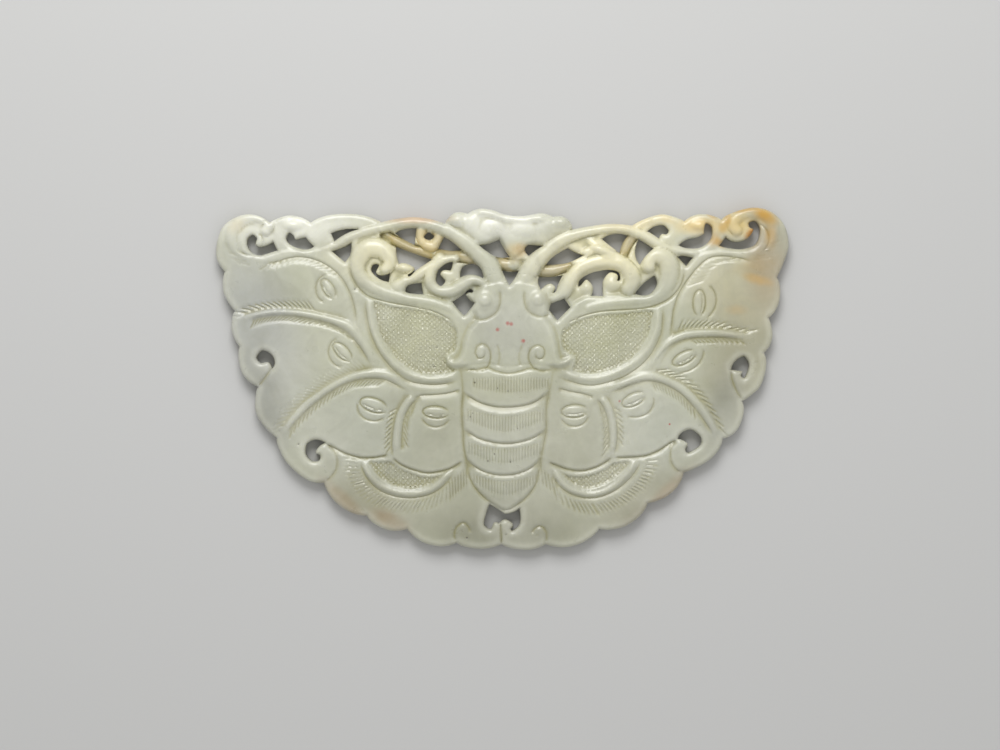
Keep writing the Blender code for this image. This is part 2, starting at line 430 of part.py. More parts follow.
def bend(points, closed=False, count=10):
    """A smooth curve through the points. Open ends follow the parabola through the last three points."""
    ring = [np.array(p, dtype=float) for p in points]
    if closed:
        ring = [ring[-1]] + ring + ring[:2]
    elif len(ring) == 2:
        return np.array(ring)
    else:
        before = 3 * ring[0] - 3 * ring[1] + ring[2]
        after = 3 * ring[-1] - 3 * ring[-2] + ring[-3]
        ring = [before] + ring + [after]
    path = []
    for a, b, c, d in zip(ring, ring[1:], ring[2:], ring[3:]):
        for step in range(count):
            t = step / count
            bow = (c - a) * t + (2 * a - 5 * b + 4 * c - d) * t * t + (3 * b - 3 * c + d - a) * t ** 3
            path.append(b + bow / 2)
    if not closed:
        path.append(ring[-2])
    return np.array(path)


def thin(path, slack, longest):
    """Drop points that lie within slack of the chord, but keep no chord above longest."""
    kept = [0]

    def split(first, last):
        chord = path[last] - path[first]
        length = max(float(np.hypot(*chord)), 1e-9)
        inner = path[first + 1:last] - path[first]
        if len(inner) == 0:
            kept.append(last)
            return
        off = np.abs(chord[0] * inner[:, 1] - chord[1] * inner[:, 0]) / length
        worst = int(np.argmax(off))
        if off[worst] <= slack < length <= longest:
            kept.append(last)
            return
        middle = first + 1 + worst if off[worst] > slack and length > slack else (first + last) // 2
        split(first, middle)
        split(middle, last)

    split(0, len(path) - 1)
    return path[kept]


def loop_of(sides, slack, longest):
    """One closed outline from sides that start at corners. A side that ends at its start is a ring."""
    outline = []
    for index, side in enumerate(sides):
        corner = sides[(index + 1) % len(sides)][0]
        if len(side) > 1 and side[0] == side[-1]:
            full = bend(side[:-1], closed=True)
            full = np.vstack([full, full[:1]])
        else:
            full = bend(side + [corner])
        outline.extend(thin(full, slack, longest)[:-1])
    return np.array(outline)


def inside(points, polygon):
    """Which points lie inside the closed polygon."""
    result = np.zeros(len(points), dtype=bool)
    x, y = points[:, 0], points[:, 1]
    for (x0, y0), (x1, y1) in zip(polygon, np.roll(polygon, -1, axis=0)):
        if y0 == y1:
            continue
        crosses = (y0 > y) != (y1 > y)
        result ^= crosses & (x < (x1 - x0) * (y - y0) / (y1 - y0) + x0)
    return result


def nearest(points, path):
    """For each point: distance to the path, side (plus is right of it) and share of its length."""
    best = np.full(len(points), 1e9)
    side = np.ones(len(points))
    share = np.zeros(len(points))
    lengths = np.hypot(*(path[1:] - path[:-1]).T)
    starts = np.concatenate([[0], np.cumsum(lengths)])
    for index, (a, b) in enumerate(zip(path, path[1:])):
        run = b - a
        t = np.clip(((points - a) @ run) / max(float(run @ run), 1e-12), 0, 1)
        gap = points - a - t[:, None] * run
        distance = np.hypot(gap[:, 0], gap[:, 1])
        closer = distance < best
        best[closer] = distance[closer]
        turn = run[0] * gap[:, 1] - run[1] * gap[:, 0]
        side[closer] = np.where(turn[closer] >= 0, 1, -1)
        share[closer] = (starts[index] + t[closer] * lengths[index]) / starts[-1]
    return best, side, share


def near(points, path, reach):
    """Index of the points in the path's box, widened by reach."""
    low = path.min(axis=0) - reach
    high = path.max(axis=0) + reach
    return np.nonzero(((points > low) & (points < high)).all(axis=1))[0]


def ease(t):
    """Zero to one with soft ends."""
    t = np.clip(t, 0, 1)
    return t * t * (3 - 2 * t)


def roll(t):
    """Quarter round: zero at the edge, one inside."""
    t = np.clip(t, 0, 1)
    return np.sqrt(1 - (1 - t) ** 2)


def dome(t):
    """Zero at the edge and one inside, without the upright edge of a quarter round."""
    return np.sin(np.clip(t, 0, 1) * math.pi / 2)


def tapered(share):
    """Fades a line in and out along its length."""
    return ease(np.minimum(share, 1 - share) / FADE_SHARE + FADE_START)


def ellipse(centre, axes, tilt, start=0, stop=360, count=28):
    """Points on an ellipse, angles in degrees, on the plan with y down."""
    turn = math.radians(tilt)
    angles = np.radians(np.linspace(start, stop, count + 1))
    x = axes[0] * np.cos(angles)
    y = axes[1] * np.sin(angles)
    return np.stack([centre[0] + x * math.cos(turn) - y * math.sin(turn),
                     centre[1] + x * math.sin(turn) + y * math.cos(turn)], axis=1)


def spiral(centre, radii, start, stop, count=24):
    """Points on a spiral, angles in degrees."""
    angles = np.radians(np.linspace(start, stop, count + 1))
    radius = np.linspace(radii[0], radii[1], count + 1)
    return np.stack([centre[0] + radius * np.cos(angles), centre[1] + radius * np.sin(angles)], axis=1)


def all_cuts():
    """Every cut line as a path with its two slopes and its depth."""
    cuts = [(bend(line), left, right, depth) for line, left, right, depth in CUTS.values()]
    for centre, axes, tilt, hood in EYE_SPOTS.values():
        turn = math.radians(tilt)
        middle = hood[len(hood) // 2]
        facing = (middle[1] - centre[1]) * math.cos(turn) - (middle[0] - centre[0]) * math.sin(turn) > 0
        first, last = (LID_END, 180 - LID_END) if facing else (180 + LID_END, 360 - LID_END)
        lid = (axes[0] * LID_SHARE[0], axes[1] * LID_SHARE[1])
        cuts.append((ellipse(centre, axes, tilt), LENS_WIDTH, LENS_WIDTH, EYE_DEPTH))
        cuts.append((ellipse(centre, lid, tilt, first, last), LID_WIDTH, LID_WIDTH, LID_DEPTH))
        cuts.append((bend(hood), HOOD_WIDTH, HOOD_WIDTH, EYE_DEPTH))
    cuts.append((bend(ABDOMEN[1:-1]), GROOVE_WIDTH, GROOVE_WIDTH, ABDOMEN_GROOVE))
    for centre, first, last, start, stop, depth in SCROLLS.values():
        cuts.append((spiral(centre, (first, last), start, stop), SCROLL_WIDTH, SCROLL_WIDTH, depth))
    return cuts


def sink(points, z, path, left, right, depth):
    """Cut a line with a slope on each side of it into the heights z."""
    spot = near(points, path, max(left, right))
    if len(spot) == 0:
        return
    distance, side, share = nearest(points[spot], path)
    t = np.clip(distance / np.where(side > 0, right, left), 0, 1)
    z[spot] -= depth * (1 - t) ** 2 * tapered(share)


def lift_bead(points, z, path, half_width, rise):
    """Raise a rounded rim along a path."""
    spot = near(points, path, half_width)
    distance, _, share = nearest(points[spot], path)
    t = np.clip(distance / half_width, 0, 1)
    z[spot] += rise * (1 - t * t) ** 1.5 * tapered(share)


def lift_knob(points, z, centre, axes, tilt, rise, softness):
    """Raise an elliptic dome. A softness of a half is a ball, and more of it flattens the foot."""
    turn = math.radians(tilt)
    x = points[:, 0] - centre[0]
    y = points[:, 1] - centre[1]
    u = (x * math.cos(turn) + y * math.sin(turn)) / axes[0]
    v = (y * math.cos(turn) - x * math.sin(turn)) / axes[1]
    z += rise * np.clip(1 - u * u - v * v, 0, 1) ** softness


def region(points, polygon, soft):
    """Zero outside the polygon, rising to one at soft inside its border."""
    outline = bend(polygon, closed=True, count=3)
    closed = np.vstack([outline, outline[:1]])
    weight = np.zeros(len(points))
    spot = near(points, outline, 1)
    depth, _, _ = nearest(points[spot], closed)
    weight[spot] = np.where(inside(points[spot], outline), depth, 0) / soft
    return weight


def lay_stem(points, z, stem, crest, over):
    """Lay a round stem through the openwork. One that runs behind the rest replaces what is there."""
    route = bend([p[:2] for p in stem], count=6)
    widths = np.array([p[2] for p in stem], dtype=float)
    spot = near(points, route, widths.max() + STEM_FOOT)
    distance, _, share = nearest(points[spot], route)
    half = np.interp(share * (len(widths) - 1), range(len(widths)), widths)
    t = distance / half
    top = crest[0] + (crest[1] - crest[0]) * share
    ridge = top - STEM_ROUND * half * UNIT * (1 - np.sqrt(np.clip(1 - t * t, 0, 1)))
    if over:
        ridge = np.maximum(z[spot], ridge)
    z[spot] += (ridge - z[spot]) * ease((half + STEM_FOOT - distance) / STEM_FOOT)


def front_height(points, to_rim, to_edge):
    """Height of the carved face, given the distances to the nearest edge and to the outer edge."""
    z = RIM_TOP + (BODY_TOP - RIM_TOP) * ease(to_edge / SWELL_WIDTH)
    z += (BAY_TOP - z) * ease(region(points, BAY, BAY_SLOPE))
    for name, (stem, crest) in STEMS.items():
        if "back" in name:
            lay_stem(points, z, stem, crest, False)
    z += CLOUD_RISE * roll(region(points, CLOUD, CLOUD_ROUND))
    abdomen = ABDOMEN_RISE * dome(region(points, ABDOMEN, ABDOMEN_ROUND))
    z += np.maximum(abdomen, HEAD_RISE * ease(region(points, HEAD, HEAD_SLOPE)))
    for name, (stem, crest) in STEMS.items():
        if "back" not in name:
            lay_stem(points, z, stem, crest, True)
    for polygon in PANES.values():
        z -= PANE_DEPTH * ease(region(points, polygon, PANE_SLOPE))
    for centre, axes, tilt, rise, softness in KNOBS.values():
        lift_knob(points, z, centre, axes, tilt, rise, softness)
    for path, half_width, rise in BEADS.values():
        lift_bead(points, z, bend(path), half_width, rise)
    for path, left, right, depth in all_cuts():
        sink(points, z, path, left, right, depth)
    fall = EDGE_FALL * (1 - roll(to_rim / EDGE_ROUND))
    return np.maximum(z - fall, LEAST_TOP)


def back_height(to_rim):
    """Height of the back: flat, with a softened rim."""
    return BACK_FALL * (1 - roll(to_rim / BACK_ROUND))


def distance_field(loops):
    """A function that gives each plan point's distance to the nearest of the loops."""
    marks = []
    for loop in loops:
        for a, b in zip(loop, np.roll(loop, -1, axis=0)):
            count = max(1, int(math.ceil(np.hypot(*(b - a)) / MARK_STEP)))
            marks.extend(a + (b - a) * (step / count) for step in range(count))
    tree = kdtree.KDTree(len(marks))
    for index, mark in enumerate(marks):
        tree.insert((mark[0], mark[1], 0), index)
    tree.balance()
    return lambda points: np.array([tree.find((p[0], p[1], 0))[2] for p in points])


def in_material(points, loops):
    """Inside the outer edge and in none of the openings."""
    result = inside(points, loops[0])
    for loop in loops[1:]:
        result &= ~inside(points, loop)
    return result


def sheet(loops, lines, loose):
    """Triangles over the plan, split along the loops and the lines. Returns points and triangles."""
    points = [Vector(p) for loop in loops for p in loop]
    edges = []
    start = 0
    for loop in loops:
        size = len(loop)
        edges.extend((start + i, start + (i + 1) % size) for i in range(size))
        start += size
    for line in lines:
        edges.extend((len(points) + i, len(points) + i + 1) for i in range(len(line) - 1))
        points.extend(Vector(p) for p in line)
    points.extend(Vector(p) for p in loose)
    corners, _, faces, _, _, _ = delaunay_2d_cdt(points, edges, [], 0, MERGE)
    corners = np.array([tuple(c) for c in corners])
    faces = np.array([f for f in faces if len(f) == 3])
    centres = corners[faces].mean(axis=1)
    return corners, faces[in_material(centres, loops)]


def open_edges(faces):
    """Directed edges that only one triangle uses: the rims of the sheet."""
    used = {(int(f[i]), int(f[(i + 1) % 3])) for f in faces for i in range(3)}
    return [(a, b) for a, b in used if (b, a) not in used]


def to_world(points, z):
    """Plan points and heights to metres, x right, y up the plan, z up."""
    x = (points[:, 0] - PLAN_CENTRE[0]) * UNIT
    y = (PLAN_CENTRE[1] - points[:, 1]) * UNIT
    return np.stack([x, y, z], axis=1)


def inset(loop, step, to_rim):
    """Points a step inside the material from a loop, where there is room."""
    before = np.roll(loop, 1, axis=0)
    after = np.roll(loop, -1, axis=0)
    run = after - before
    length = np.hypot(run[:, 0], run[:, 1])[:, None]
    normal = np.stack([run[:, 1], -run[:, 0]], axis=1) / length
    rows = np.vstack([loop + normal * step, loop - normal * step])
    return rows[to_rim(rows) > step * ROOM_SHARE]


def hex_grid(step):
    """Points of a triangular lattice over the whole plan."""
    rows = []
    left = PLAN_CENTRE[0] - PLAN_WIDTH / 2
    y = PLAN_CENTRE[1] - PLAN_WIDTH / 3
    odd = False
    while y < PLAN_CENTRE[1] + PLAN_WIDTH / 3:
        xs = np.arange(left + odd * step / 2, left + PLAN_WIDTH, step)
        rows.append(np.stack([xs, np.full(len(xs), y)], axis=1))
        y += step * math.sqrt(3) / 2
        odd = not odd
    return np.vstack(rows)


def spaced(candidates, taken, step):
    """Candidates, in order, that keep their distance from the taken points and from each other."""
    cells = {}
    for point in taken:
        cells.setdefault((int(point[0] // step), int(point[1] // step)), []).append(point)
    kept = []
    for point in candidates:
        column, row = int(point[0] // step), int(point[1] // step)
        close = any(math.hypot(point[0] - q[0], point[1] - q[1]) < step
                    for i in (-1, 0, 1) for j in (-1, 0, 1) for q in cells.get((column + i, row + j), ()))
        if not close:
            kept.append(point)
            cells.setdefault((column, row), []).append(point)
    return kept


def relief_lines(to_rim):
    """Cut lines and crests that the triangles follow, cut short of the rims."""
    lines = [bend(line) for line, _, _, _ in CUTS.values()]
    lines += [bend(line) for line, _, _ in BEADS.values()]
    outline = bend(HEAD, closed=True, count=3)
    lines.append(np.vstack([outline, outline[:1]]))
    lines.append(bend(ABDOMEN[1:-1], count=3))
    for centre, axes, tilt, _ in EYE_SPOTS.values():
        lines.append(ellipse(centre, axes, tilt, count=10))
    lines += [bend([p[:2] for p in stem], count=6) for stem, _ in STEMS.values()]
    kept = []
    for line in lines:
        free = to_rim(line) > LINE_CLEAR
        run = []
        for point, is_free in zip(line, free):
            if is_free:
                run.append(point)
            elif len(run) > 1:
                kept.append(thin(np.array(run), LINE_SLACK, LONGEST_LINE))
                run = []
            else:
                run = []
        if len(run) > 1:
            kept.append(thin(np.array(run), LINE_SLACK, LONGEST_LINE))
    return kept


def drop_crowded(lines, step):
    """Take out the points of a line that crowd an earlier line, and split the line there."""
    taken = []
    result = []
    for line in lines:
        run = []
        for point in line:
            if taken and min(math.hypot(point[0] - q[0], point[1] - q[1]) for q in taken) < step:
                if len(run) > 1:
                    result.append(np.array(run))
                run = []
            else:
                run.append(point)
        if len(run) > 1:
            result.append(np.array(run))
        taken.extend(line)
    return result


def plaque_mesh():
    """The whole solid: carved face, flat back and the walls between them."""
    loops = [loop_of(EDGE_LOBES, EDGE_SLACK, LONGEST_EDGE)]
    loops += [loop_of(sides, EDGE_SLACK, LONGEST_EDGE) for sides in OPENINGS.values()]
    to_rim = distance_field(loops)
    to_edge = distance_field(loops[:1])
    rows = np.vstack([inset(loop, SHOULDER_INSET, to_rim) for loop in loops])
    rows = rows[in_material(rows, loops)]
    shoulder = spaced(rows, [], SHOULDER_STEP)
    lines = drop_crowded(relief_lines(to_rim), LINE_CLEAR)
    on_lines = [p for line in lines for p in line]
    shoulder = spaced(shoulder, on_lines, SHOULDER_CLEAR)
    taken = on_lines + shoulder + [p for loop in loops for p in loop]
    fine = hex_grid(FINE_STEP)
    fine = fine[fine[:, 1] < FINE_BELOW]
    broad = hex_grid(BROAD_STEP)
    broad = broad[broad[:, 1] >= FINE_BELOW]
    fill = spaced(fine, taken, FINE_STEP * CLOSEST_SHARE) + spaced(broad, taken, BROAD_STEP * CLOSEST_SHARE)
    corners, faces = sheet(loops, lines, shoulder + fill)
    rims = open_edges(faces)
    top = to_world(corners, front_height(corners, to_rim(corners), to_edge(corners)))

    on_rim = sorted({a for a, _ in rims})
    rim_points = corners[on_rim]
    follow = dict(rims)
    order = {old: new for new, old in enumerate(on_rim)}
    back_loops = []
    left_over = set(on_rim)
    while left_over:
        here = min(left_over)
        loop = []
        while here in left_over:
            left_over.remove(here)
            loop.append(order[here])
            here = follow[here]
        back_loops.append(rim_points[loop])
    back_loops.sort(key=lambda loop: -np.ptp(loop[:, 0]))
    back_rows = np.vstack([inset(loop, BACK_ROUND, to_rim) for loop in loops])
    back_rows = back_rows[in_material(back_rows, loops)]
    back_inner = spaced(back_rows, [], BACK_ROW_STEP)
    back_corners, back_faces = sheet(back_loops, [], back_inner)
    bottom = to_world(back_corners, back_height(to_rim(back_corners)))

    body = bmesh.new()
    top_verts = [body.verts.new(p) for p in top]
    bottom_verts = [body.verts.new(p) for p in bottom]
    for a, b, c in faces:
        body.faces.new((top_verts[a], top_verts[b], top_verts[c]))
    for a, b, c in back_faces:
        body.faces.new((bottom_verts[c], bottom_verts[b], bottom_verts[a]))
    below = {tuple(np.round(p, 4)): i for i, p in enumerate(back_corners)}
    for a, b in rims:
        low_a = bottom_verts[below[tuple(np.round(corners[a], 4))]]
        low_b = bottom_verts[below[tuple(np.round(corners[b], 4))]]
        body.faces.new((top_verts[b], top_verts[a], low_a))
        body.faces.new((top_verts[b], low_a, low_b))
    loose = [v for v in body.verts if not v.link_faces]
    bmesh.ops.delete(body, geom=loose, context="VERTS")
    bmesh.ops.recalc_face_normals(body, faces=body.faces)
    mesh = bpy.data.meshes.new("butterfly_plaque")
    body.to_mesh(mesh)
    body.free()
    return mesh


def jade():
    """Pale grey-green nephrite."""
    material = bpy.data.materials.new("jade")
    material.use_nodes = True
    shader = material.node_tree.nodes["Principled BSDF"]
    shader.inputs["Base Color"].default_value = JADE_COLOUR
    shader.inputs["Roughness"].default_value = JADE_ROUGHNESS
    shader.inputs["Metallic"].default_value = 0
    return material


def main():
    for old in list(bpy.data.objects):
        bpy.data.objects.remove(old, do_unlink=True)
    mesh = plaque_mesh()
    mesh.materials.append(jade())
    mesh.shade_smooth()
    mesh.set_sharp_from_angle(angle=math.radians(SHARP_ANGLE))
    plaque = bpy.data.objects.new("butterfly_plaque", mesh)
    bpy.context.scene.collection.objects.link(plaque)


main()
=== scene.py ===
"""Looks of the jade butterfly plaque: its fine relief, its stone, the floor, the light and the camera."""
import math

import bmesh
import bpy
import numpy as np
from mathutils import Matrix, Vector, kdtree
from mathutils.geometry import delaunay_2d_cdt


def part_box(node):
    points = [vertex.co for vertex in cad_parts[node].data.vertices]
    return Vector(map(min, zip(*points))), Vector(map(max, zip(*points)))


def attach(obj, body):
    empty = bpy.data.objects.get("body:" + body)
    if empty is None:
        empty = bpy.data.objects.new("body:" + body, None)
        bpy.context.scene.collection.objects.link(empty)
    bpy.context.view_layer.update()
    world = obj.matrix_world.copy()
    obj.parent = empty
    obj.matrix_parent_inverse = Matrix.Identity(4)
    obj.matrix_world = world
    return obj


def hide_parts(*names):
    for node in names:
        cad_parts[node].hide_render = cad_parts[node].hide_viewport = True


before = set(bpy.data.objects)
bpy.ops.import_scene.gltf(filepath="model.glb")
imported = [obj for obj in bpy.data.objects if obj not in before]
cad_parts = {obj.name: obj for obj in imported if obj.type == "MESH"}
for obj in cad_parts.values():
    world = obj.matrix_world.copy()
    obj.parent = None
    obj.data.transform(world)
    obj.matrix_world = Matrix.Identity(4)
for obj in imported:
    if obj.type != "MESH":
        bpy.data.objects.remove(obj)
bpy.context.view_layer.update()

LOW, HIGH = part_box("butterfly_plaque")
WIDTH = HIGH.x - LOW.x

# Heights in metres, the same as the solid's
RIM_TOP = 0.0034
BODY_TOP = 0.0046
BAY_TOP = 0.0034
LEAST_TOP = 0.0013
EDGE_FALL = 0.0009
BACK_FALL = 0.0005
ABDOMEN_RISE = 0.0012
ABDOMEN_GROOVE = 0.0004
HEAD_RISE = 0.0008
CLOUD_RISE = 0.0010
PANE_DEPTH = 0.0006
EYE_DEPTH = 0.0003
LID_DEPTH = 0.00024

# Widths across the plan, in plan units
SWELL_WIDTH = 130
BAY_SLOPE = 5
EDGE_ROUND = 4.5
BACK_ROUND = 3
ABDOMEN_ROUND = 32
HEAD_SLOPE = 7
CLOUD_ROUND = 11
STEM_ROUND = 0.8
STEM_FOOT = 1.3
LID_SHARE = (0.8, 0.45)
LID_END = 10
LENS_WIDTH = 2.2
LID_WIDTH = 1.8
HOOD_WIDTH = 3
GROOVE_WIDTH = 4
SCROLL_WIDTH = 2.4
PANE_SLOPE = 3
FADE_SHARE = 0.12
FADE_START = 0.15

# Fineness of the mesh, in plan units
EDGE_SLACK = 0.04
LONGEST_EDGE = 1.7
LINE_SLACK = 0.15
LONGEST_LINE = 1.9
GRID_STEP = 1.65
BACK_STEP = 4.0
MARK_STEP = 0.4
MERGE = 0.02
LINE_CLEAR = 1.0
LINE_CELL = 0.5
STEM_EDGES = (-0.15, 1.0)
# Distances from a rim at which rows of points run beside it
RIM_ROWS = (0.5, 1.4, 2.8)
# Least room for a point, as a share of the step that it belongs to
ROOM_SHARE = 0.85
ROW_SHARE = 0.9
GRID_SHARE = 0.62
BACK_SHARE = 1.6
NET_CLEAR = 0.8
# Rings of points in and around a speck, as shares of its radius, and points to the ring
SPECK_RINGS = (0.15, 1, 1.6)
SPECK_POINTS = 6
# Edges bent by more degrees than this are shaded as sharp
SHARP_ANGLE = 55
# Points to each stretch of a curve: a region's outline and its mesh line, a stem's middle and its mesh lines
REGION_COUNT = 3
REGION_LINE_COUNT = 4
STEM_COUNT = 6
STEM_LINE_COUNT = 8

# Netting and strokes
NET_PITCH = (3.5, 3.3)
NET_RISE = 0.0003
STROKE_WIDTH = 1.45
STROKE_DEPTH = 0.00024
RING_STROKE_DEPTH = 0.00022
# Shares of a stroke over which it fades in and out, and its depth at its very ends
STROKE_FADE_IN = 0.12
STROKE_FADE_OUT = 0.35
STROKE_FADE_START = 0.2
LENS_RISE = 0.00025
STEEPEST = 0.3

# The plan is drawn in the photograph's own pixels, x to the right and y down, and scaled to WIDTH.
PLAN_CENTRE = (502.4, 378.85)
PLAN_WIDTH = 571.8
UNIT = WIDTH / PLAN_WIDTH

# Each lobe of the scalloped edge starts at its notch and runs through its crown to the next notch.
EDGE_LOBES = [
    [(225.2, 271.8), (217.7, 260.8), (216.5, 249), (219.6, 234.6), (226.2, 223.8), (240.8, 215.8),
        (256, 215.4)],
    [(270.4, 223), (280, 217.7), (290, 215.6), (302, 217.8)],
    [(310.9, 222.9), (325, 216.3), (344, 214), (363.5, 215.6)],
    [(381.5, 222.4), (398, 218.8), (413.5, 217.3), (430, 219.3)],
    [(445, 224), (448.2, 218.6), (456, 212.7)],
    [(467.7, 214), (478.5, 209.2), (492, 210.3), (506, 215.2), (522, 216.4), (540.8, 213.7)],
    [(553, 217), (564, 217.3), (570.4, 223)],
    [(572, 229.7), (590.8, 226.3), (610, 224)],
    [(632, 225.7), (645.4, 218.8), (661, 214.5), (674, 217)],
    [(683.8, 221.5), (694.6, 215.2), (705.4, 214.4), (716, 217.2)],
    [(721.2, 220.1), (731.5, 213.2), (753, 207.9), (770.8, 211.9), (783.8, 225), (788.3, 243),
        (785.5, 257)],
    [(776.7, 277.5), (780, 291), (777, 307)],
    [(768.4, 318), (772.3, 334.2), (769.4, 345.5)],
    [(763.7, 352.8), (765.9, 366.2), (760.4, 385.4), (751, 395)],
    [(741.9, 401.2), (743.3, 414), (736, 431)],
    [(722.5, 438.6), (717.7, 450.8), (706, 462)],
    [(683.5, 472.6), (678.2, 485), (666, 496.5)],
    [(647.5, 503.2), (640, 515.5), (625, 526), (610, 529.4)],
    [(599.5, 528.7), (584.6, 541.2), (565, 547)],
    [(545.4, 544), (532, 549.2), (514.6, 548.6)],
    [(501.5, 544.2), (483.8, 548.6), (466, 546.8)],
    [(456.9, 542.5), (440, 546.1), (421, 541)],
    [(407.2, 528.8), (391, 530.4), (375.4, 524.2)],
    [(366.9, 515.4), (351, 512.2), (334.2, 500.4)],
    [(324, 482.5), (306.5, 479.2), (288, 463.5), (279.2, 448.5)],
    [(277, 438), (263, 424.5), (255.8, 410.8), (256, 395)],
    [(258.5, 387), (244, 376), (239, 360)],
    [(239.8, 347), (232.3, 331.9), (232.5, 318)],
    [(235.3, 311.2), (225, 296), (223.1, 283)],
]

